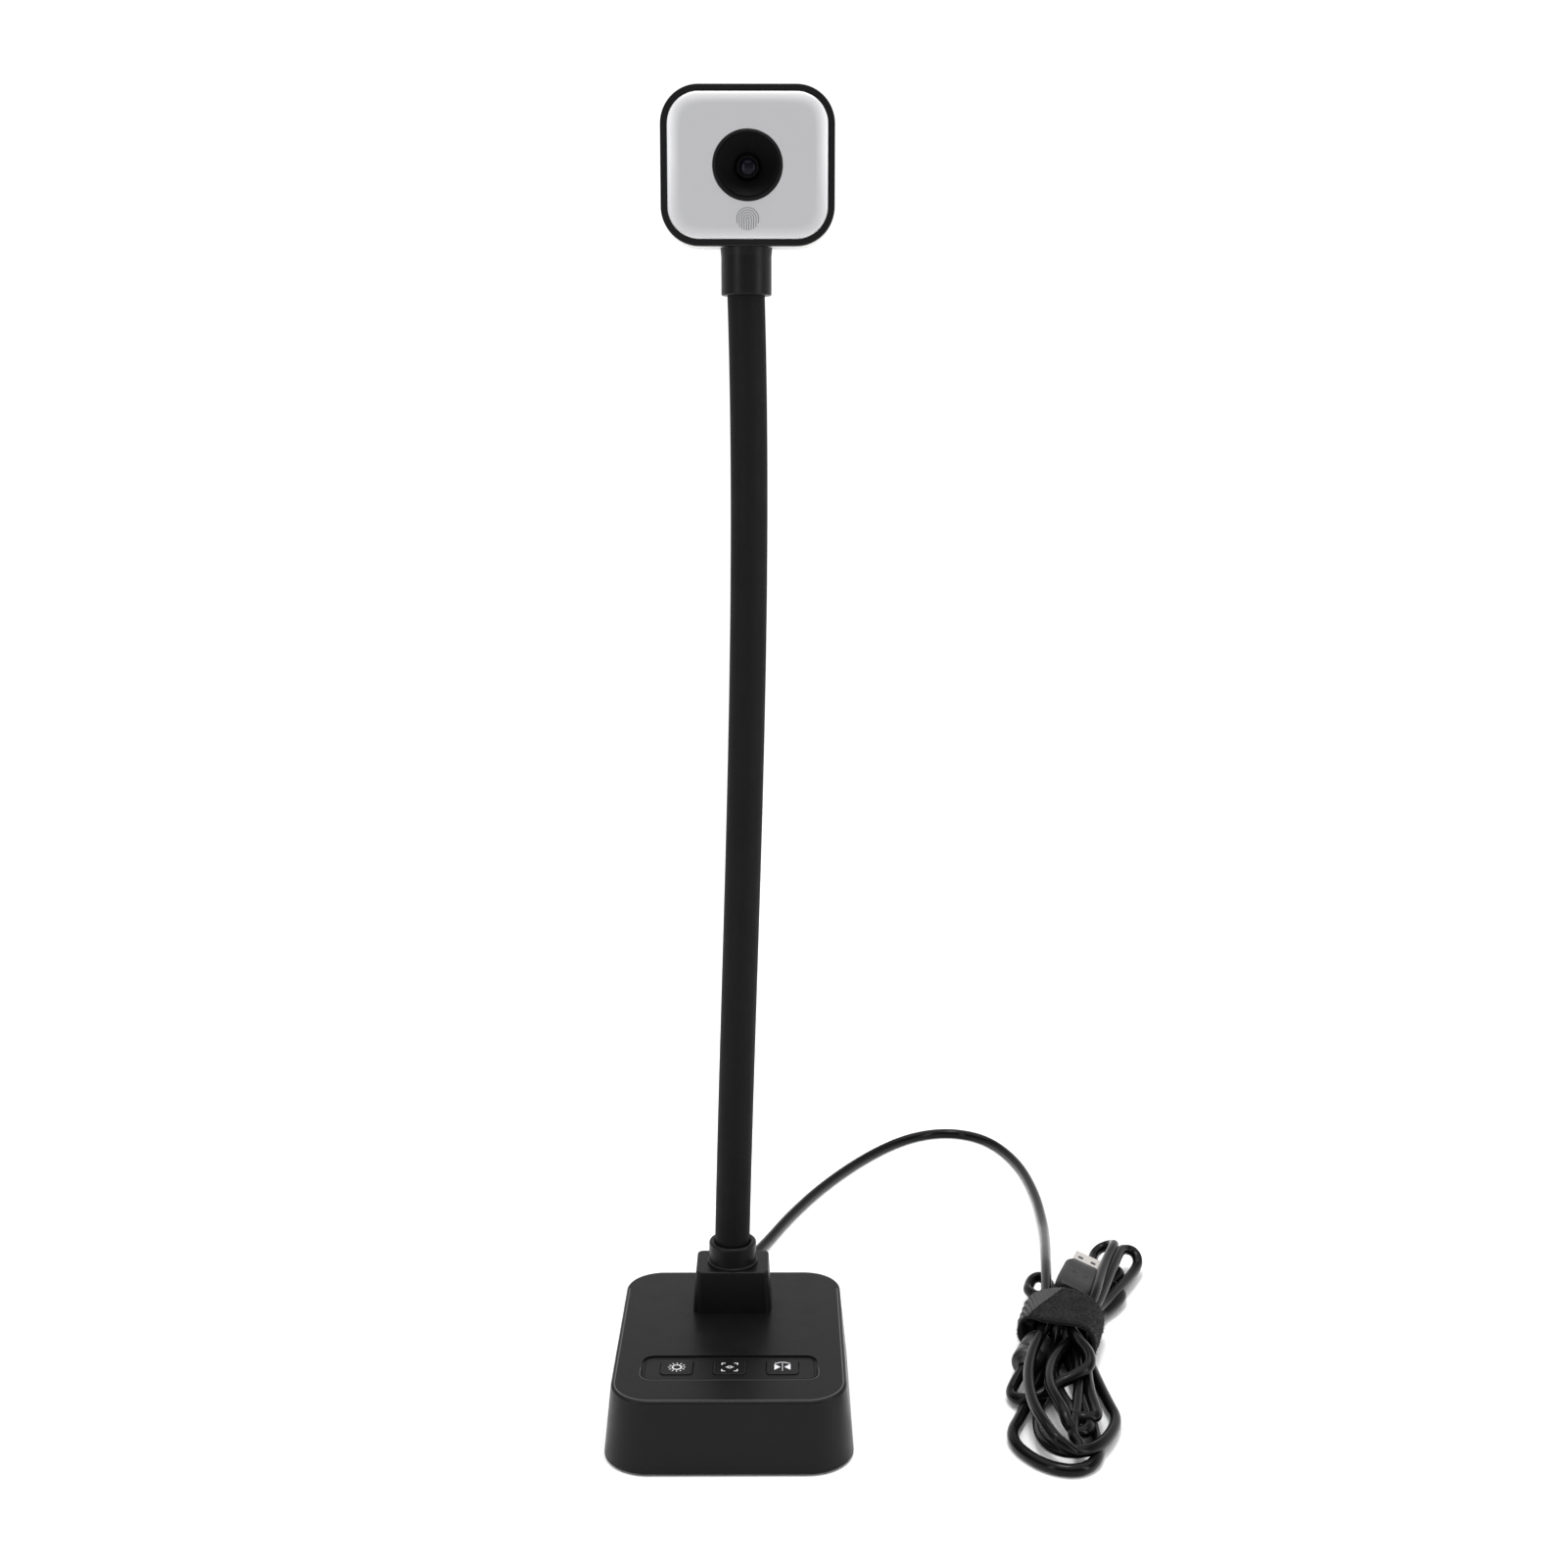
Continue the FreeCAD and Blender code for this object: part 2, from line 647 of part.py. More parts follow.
def button_board():
    """The board under the keys, with its switches, connectors and screws."""
    body = rounded_slab("button_board", "board_width", "board_depth", "2", "board_thickness",
                        ("0", "key_y", "board_top - board_thickness"))
    for side, sign in (("left", "-"), ("right", "")):
        hole = circle_sketch(body, f"board_hole_{side}", "small_screw_radius + 0.1",
                             (f"{sign}board_post_x", "key_y", "board_top"))
        pocket(body, hole, "board_thickness + 0.1")
    switches = []
    for label, place in KEY_PLACES.items():
        case = solid_box(f"{label}_switch_case", "switch_size", "switch_size", "switch_height",
                         (place, "key_y", "board_top"))
        plunger = solid_cylinder(f"{label}_plunger", "plunger_radius", "plunger_height",
                                 (place, "key_y", "board_top + switch_height"))
        switches.append(fused(f"{label}_switch", [case, plunger]))
    keep(group("switch_set", switches), "button_switches")
    sockets = [solid_box(f"socket_{side}", "10", "6", "5",
                         (x, "key_y + 4.8", "board_top - board_thickness - 5"))
               for side, x in (("left", "-8"), ("right", "8"))]
    keep(group("socket_set", sockets), "board_connectors")
    screws = []
    for side, sign in (("left", "-"), ("right", "")):
        x = f"{sign}board_post_x"
        head = solid_cylinder(f"board_screw_{side}_head", "small_screw_head_radius", "small_screw_head_height",
                              (x, "key_y", "board_top - board_thickness - small_screw_head_height"))
        shank = solid_cylinder(f"board_screw_{side}_shank", "small_screw_radius", "small_screw_length - 0.3",
                               (x, "key_y", "board_top - board_thickness"))
        screws.append(fused(f"board_screw_{side}", [head, shank]))
    keep(group("board_screw_set", screws), "board_screws")


# ---- tower and neck fittings ---------------------------------------------------------

def neck_pedestal():
    body = new_body("neck_pedestal")
    foot = rectangle_sketch(body, "tower_foot", "tower_width", "tower_depth", "tower_corner",
                            ("0", "tower_y", "base_height"))
    pad(body, foot, "tower_top - base_height", narrows="tower_draft")
    round_edges(body, "tower_round", level_edge("Z", size("tower_top")))
    hollow = rectangle_sketch(body, "tower_hollow", "tower_hollow_width", "tower_hollow_depth", "2",
                              ("0", "tower_y", "base_height"))
    pocket(body, hollow, "tower_hollow_height", along_normal=True)
    pocket(body, circle_sketch(body, "tower_hole", "stem_radius + stem_gap", ("0", "tower_y", "tower_top")),
           "tower_top - base_height - tower_hollow_height + 1")


def lower_collar():
    """The ring at the foot of the neck: a thin seat, a straight wall and a rounded lip."""
    body = new_body("lower_collar")
    move(body, ("0", "tower_y", "tower_top"))
    bore = "neck_radius + neck_clearance"
    outline = [(bore, "0"), ("collar_seat_radius", "0"), ("collar_seat_radius", "collar_seat_height"),
               ("collar_radius", "collar_seat_height + 0.3"), ("collar_radius", "collar_height"),
               (bore, "collar_height")]
    revolve(body, polygon_sketch(body, "lower_collar_profile", outline))
    round_edges(body, "collar_round", level_edge("Z", size("collar_height")))


def upper_collar():
    """The ring under the head; its bore narrows where it rests on the fitting's shoulder."""
    body = new_body("upper_collar")
    move(body, ("neck_lean_top", "head_y", "upper_collar_bottom"))
    height = "head_z - head_height / 2 - upper_collar_bottom"
    shoulder = "upper_shoulder - upper_collar_bottom"
    outline = [("neck_radius + neck_clearance", "0"), ("upper_collar_radius", "0"),
               ("upper_collar_radius", f"{height} - 3"), ("upper_collar_radius + 0.3", height),
               ("stem_radius + stem_gap", height), ("stem_radius + stem_gap", shoulder),
               ("neck_radius + neck_clearance", shoulder)]
    revolve(body, polygon_sketch(body, "upper_collar_profile", outline))
    round_edges(body, "0.6", level_edge("Z", 0.0, size("upper_collar_radius") - 0.1))


def add_ball(body, height):
    """The domed top of a link, centred on the pivot at this height."""
    cap_angle = "asin(sqrt(ball_radius ^ 2 - neck_radius ^ 2) / ball_radius)"
    primitive(body, "AdditiveSphere", f"{body.Name}_ball", ("0", "0", height),
              Radius="ball_radius", Angle1=cap_angle)


def neck_lower_fitting():
    """The threaded root of the neck: a stem through the tower, and the first ball."""
    body = new_body("neck_lower_fitting")
    move(body, ("0", "tower_y", "0"))
    primitive(body, "AdditiveCylinder", "root_stem", ("0", "0", "lower_stem_bottom"),
              Radius="stem_radius", Height="tower_top - lower_stem_bottom")
    primitive(body, "AdditiveCylinder", "root_barrel", ("0", "0", "tower_top"), Radius="neck_radius",
              Height="first_pivot - tower_top + sqrt(ball_radius ^ 2 - neck_radius ^ 2)")
    add_ball(body, "first_pivot")
    primitive(body, "SubtractiveCylinder", "root_bore", ("0", "0", "lower_stem_bottom - 1"),
              Radius="neck_bore", Height="first_pivot + ball_radius - lower_stem_bottom + 2")


def neck_upper_fitting():
    """The threaded end of the neck: the last socket, a shoulder for the collar, and a stem."""
    body = new_body("neck_upper_fitting")
    move(body, ("neck_lean_top", "head_y", "0"))
    primitive(body, "AdditiveCylinder", "end_barrel", ("0", "0", "last_pivot"),
              Radius="neck_radius", Height="upper_shoulder - last_pivot")
    primitive(body, "AdditiveCylinder", "end_stem", ("0", "0", "upper_shoulder"),
              Radius="stem_radius", Height="upper_stem_top - upper_shoulder")
    primitive(body, "SubtractiveSphere", "end_socket", ("0", "0", "last_pivot"),
              Radius="ball_radius + ball_gap")
    primitive(body, "SubtractiveCylinder", "end_bore", ("0", "0", "last_pivot"),
              Radius="neck_bore", Height="upper_stem_top - last_pivot + 1")


def pivot(index):
    """Where two segments of the neck meet: level steps up a gently leaning curve."""
    step = index / LINK_COUNT
    low = size("first_pivot")
    height = low + step * (size("last_pivot") - low)
    leans = (0.0, size("neck_lean_third"), size("neck_lean_two_thirds"), size("neck_lean_top"))
    x = 0.0
    for place, lean in enumerate(leans):
        weight = 1.0
        for other in range(4):
            if other != place:
                weight *= (3 * step - other) / (place - other)
        x += weight * lean
    y = size("tower_y") + step * (size("head_y") - size("tower_y"))
    return Vector(x, y, height)


def neck_link(index):
    """One segment of the gooseneck: a socket below, a ball above, and a bore for the wires."""
    body = new_body(f"neck_link_{index + 1:02d}")
    name = body.Name
    spacing = f"(last_pivot - first_pivot) / {LINK_COUNT}"
    primitive(body, "AdditiveCylinder", f"{name}_barrel", Radius="neck_radius",
              Height=f"{spacing} + sqrt(ball_radius ^ 2 - neck_radius ^ 2)")
    add_ball(body, spacing)
    primitive(body, "SubtractiveSphere", f"{name}_socket", Radius="ball_radius + ball_gap")
    primitive(body, "SubtractiveCylinder", f"{name}_bore", Radius="neck_bore",
              Height=f"{spacing} + ball_radius + 1")
    low = pivot(index)
    body.Placement = FreeCAD.Placement(low, Rotation(UP, pivot(index + 1) - low))


def lock_nut(label, across, at):
    """A hexagon nut on the stem of a neck fitting."""
    blank = doc.addObject("Part::Prism", f"{label}_blank")
    blank.Polygon = 6
    bind(blank, Circumradius=across, Height="nut_height")
    move(blank, at)
    bore = solid_cylinder(f"{label}_bore", "stem_radius + 0.05", "nut_height", at)
    nut = doc.addObject("Part::Cut", f"{label}_cut")
    nut.Base = blank
    nut.Tool = bore
    keep(nut, label)


# ---- camera head ---------------------------------------------------------------------

BEZEL_BACK = "head_half_depth - bezel_depth"
DIFFUSER_BACK = "head_half_depth + diffuser_proud - diffuser_thickness"


def head_bezel():
    """The black frame round the light; a ledge inside it carries the diffuser."""
    body = head_body("head_bezel")
    frame = rectangle_sketch(body, "bezel_outline", "head_width", "head_height", "head_corner",
                             ("0", "0", BEZEL_BACK), "XZ_Plane")
    pad(body, frame, "bezel_depth")
    round_edges(body, "bezel_round", level_edge("Y", -size("head_half_depth")))
    for name, border, back in (("bezel_rebate", "bezel_border", DIFFUSER_BACK),
                               ("bezel_window", "bezel_border + bezel_ledge", BEZEL_BACK)):
        opening = rectangle_sketch(body, name, f"head_width - 2 * ({border})", f"head_height - 2 * ({border})",
                                   f"head_corner - ({border})", ("0", "0", back), "XZ_Plane")
        pocket(body, opening, "bezel_depth", along_normal=True)


def head_rear_shell():
    """The off-white back of the head, a rounded cup with posts for the two boards."""
    body = head_body("head_rear_shell")
    outline = rectangle_sketch(body, "shell_outline", "head_width - 2 * shell_inset",
                               "head_height - 2 * shell_inset", "head_corner - shell_inset",
                               ("0", "0", "-head_half_depth"), "XZ_Plane")
    pad(body, outline, "2 * head_half_depth - bezel_depth")
    round_edges(body, "shell_round", level_edge("Y", size("head_half_depth")))
    wall = "shell_inset + shell_wall"
    cavity = rectangle_sketch(body, "shell_cavity", f"head_width - 2 * ({wall})",
                              f"head_height - 2 * ({wall})", f"head_corner - ({wall})",
                              ("0", "0", BEZEL_BACK), "XZ_Plane")
    pocket(body, cavity, "2 * head_half_depth - bezel_depth - shell_wall")
    rear = "-(head_half_depth - shell_wall)"
    light_posts = four_circles_sketch(body, "light_posts", "light_post_radius", "light_post_x",
                                      "light_post_z", ("0", "light_board_z", rear), "XZ_Plane")
    pad(body, light_posts, "head_half_depth - shell_wall - light_board_back")
    pilots = four_circles_sketch(body, "light_pilots", "small_screw_radius + 0.05", "light_post_x",
                                 "light_post_z", ("0", "light_board_z", "-light_board_back"), "XZ_Plane")
    pocket(body, pilots, "small_screw_length")
    camera_posts = four_circles_sketch(body, "camera_posts", "camera_post_radius", "camera_post_x",
                                       "camera_post_z", ("0", "0", rear), "XZ_Plane")
    pad(body, camera_posts, "head_half_depth - shell_wall - sensor_front - sensor_thickness"
                            " - camera_board_thickness")
    stem_hole = circle_sketch(body, "shell_stem_hole", "stem_radius + stem_gap",
                              ("neck_lean_top - head_x", "0", "-(head_height / 2 + 1)"))
    pocket(body, stem_hole, "shell_wall + 2", along_normal=True)


def light_diffuser():
    """The milky front plate with a soft rim and a round hole for the lens."""
    body = head_body("light_diffuser")
    border = "bezel_border + diffuser_gap"
    plate = rectangle_sketch(body, "diffuser_outline", f"head_width - 2 * ({border})",
                             f"head_height - 2 * ({border})", f"head_corner - ({border})",
                             ("0", "0", DIFFUSER_BACK), "XZ_Plane")
    pad(body, plate, "diffuser_thickness")
    round_edges(body, "diffuser_round", level_edge("Y", -worked_out("head_half_depth + diffuser_proud")))
    hole = circle_sketch(body, "diffuser_hole", "lens_radius + lens_hole_gap",
                         ("0", "0", DIFFUSER_BACK), "XZ_Plane")
    pocket(body, hole, "diffuser_thickness + 0.1", along_normal=True)


def lens_trim_ring():
    body = head_body("lens_trim_ring")
    front = "head_half_depth + diffuser_proud + trim_proud"
    ring = circle_sketch(body, "trim_outside", "lens_radius", ("0", "0", f"{front} - trim_depth"), "XZ_Plane")
    pad(body, ring, "trim_depth")
    round_edges(body, "0.3", level_edge("Y", -worked_out(front)))
    bore = circle_sketch(body, "trim_inside", "trim_inner_radius", ("0", "0", f"{front} - trim_depth"),
                         "XZ_Plane")
    pocket(body, bore, "trim_depth + 0.1", along_normal=True)


def lens_cone():
    """The matte funnel between the trim ring and the lens; its wide end faces forwards."""
    cones = []
    for name, inset in (("cone_outside", "0"), ("cone_inside", "cone_wall")):
        cone = doc.addObject("Part::Cone", name)
        bind(cone, Radius1=f"cone_front_radius - ({inset})", Radius2=f"cone_back_radius - ({inset})",
             Height="cone_depth")
        cone.Placement = FreeCAD.Placement(Vector(), Rotation(Vector(1, 0, 0), -90))
        move(cone, ("head_x", "head_y - head_half_depth - diffuser_proud", "head_z"))
        cones.append(cone)
    funnel = doc.addObject("Part::Cut", "cone_cut")
    funnel.Base, funnel.Tool = cones
    keep(funnel, "lens_cone")


def lens_barrel():
    """The moving lens: a small barrel with a recess for its front element."""
    body = head_body("lens_barrel")
    tube_end = circle_sketch(body, "barrel_outline", "barrel_radius",
                             ("0", "0", "-(barrel_front + barrel_length)"), "XZ_Plane")
    pad(body, tube_end, "barrel_length")
    recess = circle_sketch(body, "barrel_recess", "barrel_recess_radius", ("0", "0", "-barrel_front"),
                           "XZ_Plane")
    pocket(body, recess, "barrel_recess_depth")


def camera_module():
    """The camera board with its sensor, and the voice-coil actuator that moves the lens."""
    board = head_body("camera_board")
    board_front = "-(sensor_front + sensor_thickness)"
    outline = rectangle_sketch(board, "camera_board_outline", "camera_board_width", "camera_board_height",
                               "1", ("0", "0", board_front), "XZ_Plane")
    pad(board, outline, "camera_board_thickness", reverse=True)
    sensor = head_body("image_sensor")
    pad(sensor, rectangle_sketch(sensor, "sensor_outline", "sensor_width", "sensor_height", "0.3",
                                 ("0", "0", board_front), "XZ_Plane"), "sensor_thickness")
    actuator = head_body("focus_actuator")
    pad(actuator, rectangle_sketch(actuator, "actuator_outline", "actuator_size", "actuator_size", "1",
                                   ("0", "0", board_front), "XZ_Plane"),
        "sensor_front + sensor_thickness - actuator_front")
    pocket(actuator, circle_sketch(actuator, "actuator_bore", "barrel_radius + barrel_gap",
                                   ("0", "0", "-actuator_front"), "XZ_Plane"),
           "sensor_front + sensor_thickness - actuator_front + 0.1")
    pocket(actuator, rectangle_sketch(actuator, "sensor_pocket", "sensor_width + 0.4",
                                      "sensor_height + 0.4", "0.5", ("0", "0", board_front), "XZ_Plane"),
           "sensor_thickness + 0.4", along_normal=True)


def ring_light():
    """The light board, its lamps round the edge, its screws, and the touch pad under the plate."""
    board = head_body("led_board")
    pad(board, rectangle_sketch(board, "light_board_outline", "light_board_width", "light_board_height",
                                "light_board_corner", ("0", "light_board_z", "-light_board_back"),
                                "XZ_Plane"), "light_board_thickness")
    pocket(board, circle_sketch(board, "light_board_opening", "light_board_bore",
                                ("0", "0", "-light_board_back"), "XZ_Plane"),
           "light_board_thickness + 0.1", along_normal=True)
    holes = four_circles_sketch(board, "light_board_holes", "small_screw_radius + 0.1", "light_post_x",
                                "light_post_z", ("0", "light_board_z", "-light_board_back"), "XZ_Plane")
    pocket(board, holes, "light_board_thickness + 0.1", along_normal=True)

    front = "head_y + light_board_back - light_board_thickness"
    rows = [(x, z) for z in (17, -17) for x in (-18, -9, 0, 9, 18)]
    sides = [(x, z) for x in (-23, 23) for z in (-5, 5)]
    lamps = [solid_box(f"lamp_{number}", "light_width", "light_thickness", "light_width",
                       (f"head_x + {x}", f"{front} - light_thickness / 2",
                        f"head_z + light_board_z + {z} - light_width / 2"))
             for number, (x, z) in enumerate(rows + sides, start=1)]
    keep(group("lamp_set", lamps), "leds")

    screws = []
    for across in ("-", "+"):
        for along in ("-", "+"):
            name = f"head_screw_{len(screws) + 1}"
            x = f"head_x {across} light_post_x"
            z = f"head_z + light_board_z {along} light_post_z"
            head = solid_cylinder(f"{name}_head", "small_screw_head_radius", "small_screw_head_height",
                                  (x, f"{front} - small_screw_head_height", z))
            shank = solid_cylinder(f"{name}_shank", "small_screw_radius", "small_screw_length",
                                   (x, front, z))
            for piece in (head, shank):
                piece.Placement.Rotation = Rotation(Vector(1, 0, 0), -90)
            screws.append(fused(name, [head, shank]))
    keep(group("head_screw_set", screws), "head_screws")

    touch = head_body("touch_pad")
    pad(touch, circle_sketch(touch, "touch_outline", "touch_radius", ("0", "touch_z", DIFFUSER_BACK),
                             "XZ_Plane"), "touch_thickness", reverse=True)


# ---- USB lead ------------------------------------------------------------------------

def cable_strain_relief():
    """The tapered sleeve where the lead leaves the base, flanged inside; gives the Y of its tip."""
    taper = doc.addObject("Part::Cone", "relief_taper")
    bind(taper, Radius1="relief_root_radius", Radius2="relief_tip_radius", Height="relief_length")
    taper.Placement = FreeCAD.Placement(Vector(), Rotation(Vector(1, 0, 0), -90))
    move(taper, ("0", "base_depth / 2 - 1", "cord_exit_z"))
    neck = doc.addObject("Part::Cylinder", "relief_neck")
    bind(neck, Radius="relief_root_radius", Height="wall + 1")
    neck.Placement = FreeCAD.Placement(Vector(), Rotation(Vector(1, 0, 0), -90))
    move(neck, ("0", "base_depth / 2 - 2 - wall", "cord_exit_z"))
    flange = doc.addObject("Part::Cylinder", "relief_flange")
    bind(flange, Radius="relief_flange_radius", Height="relief_flange_height")
    flange.Placement = FreeCAD.Placement(Vector(), Rotation(Vector(1, 0, 0), -90))
    move(flange, ("0", "base_depth / 2 - 2 - wall - relief_flange_height", "cord_exit_z"))
    keep(fused("relief_whole", [taper, neck, flange]), "cable_strain_relief")
    return size("base_depth") / 2 - 1 + size("relief_length")


def cable_route(start_y):
    """The free lead, from the strain relief, in one wide arc behind the base, to the hank."""
    floor = size("cord_radius") + 0.05
    return [(0.0, start_y, size("cord_exit_z")),
            (0.0, start_y + 16, size("cord_exit_z")),
            (3.0, 110.0, 4.0),
            (12.0, 133.0, floor),
            (24.0, 165.0, floor),
            (41.0, 201.0, floor),
            (64.0, 238.0, floor),
            (87.0, 263.5, floor),
            (109.0, 271.5, floor),
            (129.0, 261.0, floor),
            (141.0, 229.0, floor),
            (144.5, 190.0, floor),
            (143.0, 152.0, 3.0),
            (140.0, 126.0, 7.5),
            (136.5, 101.0, 12.0)]


def hank_pad(body, name, width, length, corner, at, turn, low="0.1", height="hank_height"):
    """One lobe of the hank: a flat rounded slab, turned in plan."""
    sketch = rectangle_sketch(body, name, width, length, corner, (at[0], at[1], low), turn=turn)
    return pad(body, sketch, height)


def cable_hank():
    """The outer shape of the tied bundle: a waist in the strap, and a lobe of loops each side."""
    body = new_body("cable_hank")
    hank_pad(body, "hank_waist", "strap_width - 2 * strap_thickness - 1", "waist_length", "6",
             ("strap_x", "strap_y + 5"), size("strap_turn"),
             low="strap_thickness + 0.2", height="strap_height - 2 * strap_thickness - 0.4")
    hank_pad(body, "hank_front_lobe", "46", "78", "21", ("123", "-22"), -7.0)
    hank_pad(body, "hank_back_lobe", "38", "70", "17", ("161", "95"), -26.0)
    hank_pad(body, "hank_side_loop", "16", "36", "7", ("134", "86"), -5.0, height="12")
    along = math.radians(size("plug_turn"))
    middle = (size("usb_length") - size("grip_length")) / 2
    plug_bed = rectangle_sketch(body, "plug_bed", "grip_width + 2.4", "grip_length + usb_length + 0.6", "1",
                                (f"plug_x - ({middle * math.sin(along)})",
                                 f"plug_y + ({middle * math.cos(along)})",
                                 "plug_z - plug_bed_depth"), turn=size("plug_turn"))
    pocket(body, plug_bed, "hank_height", along_normal=True)


def cable_strap():
    """The hook-and-loop tie round the waist of the hank."""
    body = new_body("cable_strap")
    body.Placement = FreeCAD.Placement(Vector(), Rotation(UP, size("strap_turn")))
    move(body, ("strap_x", "strap_y", "0"))
    centre = ("0", "strap_height / 2 + 0.1", "-strap_length / 2")
    pad(body, rectangle_sketch(body, "strap_outside", "strap_width", "strap_height", "strap_corner",
                               centre, "XZ_Plane"), "strap_length")
    hole = rectangle_sketch(body, "strap_inside", "strap_width - 2 * strap_thickness",
                            "strap_height - 2 * strap_thickness", "strap_corner - strap_thickness",
                            centre, "XZ_Plane")
    pocket(body, hole, "strap_length + 0.1", along_normal=True)


def ferrite_core():
    """The moulded suppressor on the lead, lying at the left of the strap."""
    core = doc.addObject("Part::Cylinder", "ferrite_cylinder")
    bind(core, Radius="ferrite_radius", Height="ferrite_length")
    towards_back = Vector(9.0, 20.0, 0.0)
    core.Placement = FreeCAD.Placement(Vector(116.0, 13.0, size("ferrite_radius") + 0.1),
                                       Rotation(UP, towards_back))
    keep(core, "ferrite_core")


def plug_body(label):
    """A body in the plug's own frame: the face where the metal meets the grip, +Y outwards."""
    body = new_body(label)
    turned = Rotation(UP, size("plug_turn"))
    dipped = Rotation(Vector(1, 0, 0), size("plug_pitch"))
    rolled = Rotation(Vector(0, 1, 0), size("plug_roll"))
    body.Placement = FreeCAD.Placement(Vector(), turned * dipped * rolled)
    move(body, ("plug_x", "plug_y", "plug_z"))
    return body


def usb_plug():
    """A standard USB-A plug: moulded grip, metal shell and the insulating tongue inside it."""
    grip = plug_body("usb_plug_grip")
    pad(grip, rectangle_sketch(grip, "grip_outline", "grip_width", "grip_height", "grip_corner",
                               plane="XZ_Plane"), "grip_length")
    round_edges(grip, "1.2", level_edge("Y", -size("grip_length")))
    shell = plug_body("usb_plug_shell")
    pad(shell, rectangle_sketch(shell, "shell_section", "usb_width", "usb_height", "0.5",
                                plane="XZ_Plane"), "usb_length", reverse=True)
    inside = rectangle_sketch(shell, "shell_inside", "usb_width - 2 * usb_wall", "usb_height - 2 * usb_wall",
                              "0.2", plane="XZ_Plane")
    pocket(shell, inside, "usb_length + 0.1")
    tongue = plug_body("usb_plug_tongue")
    low_half = ("0", "-(usb_height / 2 - usb_wall - tongue_thickness / 2)", "0")
    pad(tongue, rectangle_sketch(tongue, "tongue_section", "usb_width - 2 * usb_wall - 0.4",
                                 "tongue_thickness", "0.1", low_half, "XZ_Plane"),
        "usb_length - 0.5", reverse=True)


# ---- the whole object ----------------------------------------------------------------

base_cover()
base_plate()
rubber_feet()
base_screws()
counterweight()
control_panel()
for key_label, key_place in KEY_PLACES.items():
    key(key_label, key_place)
button_board()
neck_pedestal()
lower_collar()
neck_lower_fitting()
lock_nut("neck_lower_nut", "lower_nut_radius", ("0", "tower_y", "base_height - top_wall - nut_height"))
for link_index in range(LINK_COUNT):
    neck_link(link_index)
neck_upper_fitting()
upper_collar()
lock_nut("neck_upper_nut", "upper_nut_radius",
         ("neck_lean_top", "head_y", "head_z - head_height / 2 + shell_inset + shell_wall"))
head_bezel()
head_rear_shell()
light_diffuser()
lens_trim_ring()
lens_cone()
lens_barrel()
camera_module()
ring_light()
relief_end = cable_strain_relief()
tube("cable_tube", cable_route(relief_end), size("cord_radius"))
cable_hank()
cable_strap()
ferrite_core()
usb_plug()

socket_back = size("key_y") + 7.8
socket_level = size("board_top") - size("board_thickness") - 2.5
lead_start = size("base_depth") / 2 - 2 - size("wall") - size("relief_flange_height")
tube("usb_lead_inside",
     [(0.0, lead_start, size("cord_exit_z")), (0.0, 43.0, size("cord_exit_z")), (7.0, 35.0, 14.8),
      (15.0, 18.0, 15.3), (12.0, 2.0, 15.0), (8.0, -8.0, socket_level), (8.0, socket_back, socket_level)],
     size("inner_lead_radius"))
tube("base_harness",
     [(0.0, size("tower_y"), size("lower_stem_bottom")), (0.0, size("tower_y") - 0.5, 15.4),
      (-1.0, 21.5, 13.8), (-5.0, 8.0, 14.2), (-8.0, -6.0, socket_level), (-8.0, socket_back, socket_level)],
     size("harness_radius"))

doc.recompute()

for thing in doc.Objects:
    if {"Invalid", "Error"} & set(thing.State):
        raise RuntimeError(f"{thing.Label} failed: {thing.State}")

labels = [thing.Label for thing in parts]
if len(set(labels)) != len(labels):
    raise RuntimeError("two sub-parts share a label")

os.makedirs("parts", exist_ok=True)
for old in os.listdir("parts"):
    if old.endswith(".step"):
        os.remove(os.path.join("parts", old))
for thing in parts:
    shape = thing.Shape
    if shape.isNull() or not shape.isValid():
        raise RuntimeError(f"{thing.Label} has no valid shape")
    shape.exportStep(os.path.join("parts", f"{thing.Label}.step"))
print(len(parts), "sub-parts written")
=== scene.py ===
import json
import random
from math import cos, pi, radians, sin, tau

import bmesh
import bpy
from mathutils import Matrix, Vector
from mathutils import noise as fine_noise


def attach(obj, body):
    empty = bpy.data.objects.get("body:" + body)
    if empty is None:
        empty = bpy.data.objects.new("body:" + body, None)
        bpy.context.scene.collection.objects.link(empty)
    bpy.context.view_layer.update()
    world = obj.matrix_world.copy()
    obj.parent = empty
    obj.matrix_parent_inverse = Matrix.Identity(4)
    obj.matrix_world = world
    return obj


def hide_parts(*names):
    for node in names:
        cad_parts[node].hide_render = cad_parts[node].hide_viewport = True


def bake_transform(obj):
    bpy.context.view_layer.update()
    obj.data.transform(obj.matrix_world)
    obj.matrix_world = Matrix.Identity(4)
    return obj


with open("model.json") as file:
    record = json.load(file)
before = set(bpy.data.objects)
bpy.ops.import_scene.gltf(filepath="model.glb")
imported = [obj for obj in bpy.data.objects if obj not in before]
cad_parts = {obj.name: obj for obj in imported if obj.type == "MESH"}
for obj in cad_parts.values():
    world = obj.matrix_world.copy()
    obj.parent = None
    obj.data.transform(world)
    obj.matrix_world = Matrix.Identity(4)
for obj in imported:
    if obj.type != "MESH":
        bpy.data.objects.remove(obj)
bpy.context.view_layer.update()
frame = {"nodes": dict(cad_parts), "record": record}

nodes = frame["nodes"]
MM = 0.001


# ---------------------------------------------------------------- materials


def add(tree, kind, **sockets):
    """A node of that kind, with its named inputs set or linked."""
    node = tree.nodes.new(kind)
    for name, value in sockets.items():
        connect(tree, node.inputs[name.replace("_", " ")], value)
    return node


def connect(tree, socket, value):
    """Links an output to the socket, or sets its number."""
    if isinstance(value, bpy.types.NodeSocket):
        tree.links.new(value, socket)
    else:
        socket.default_value = value


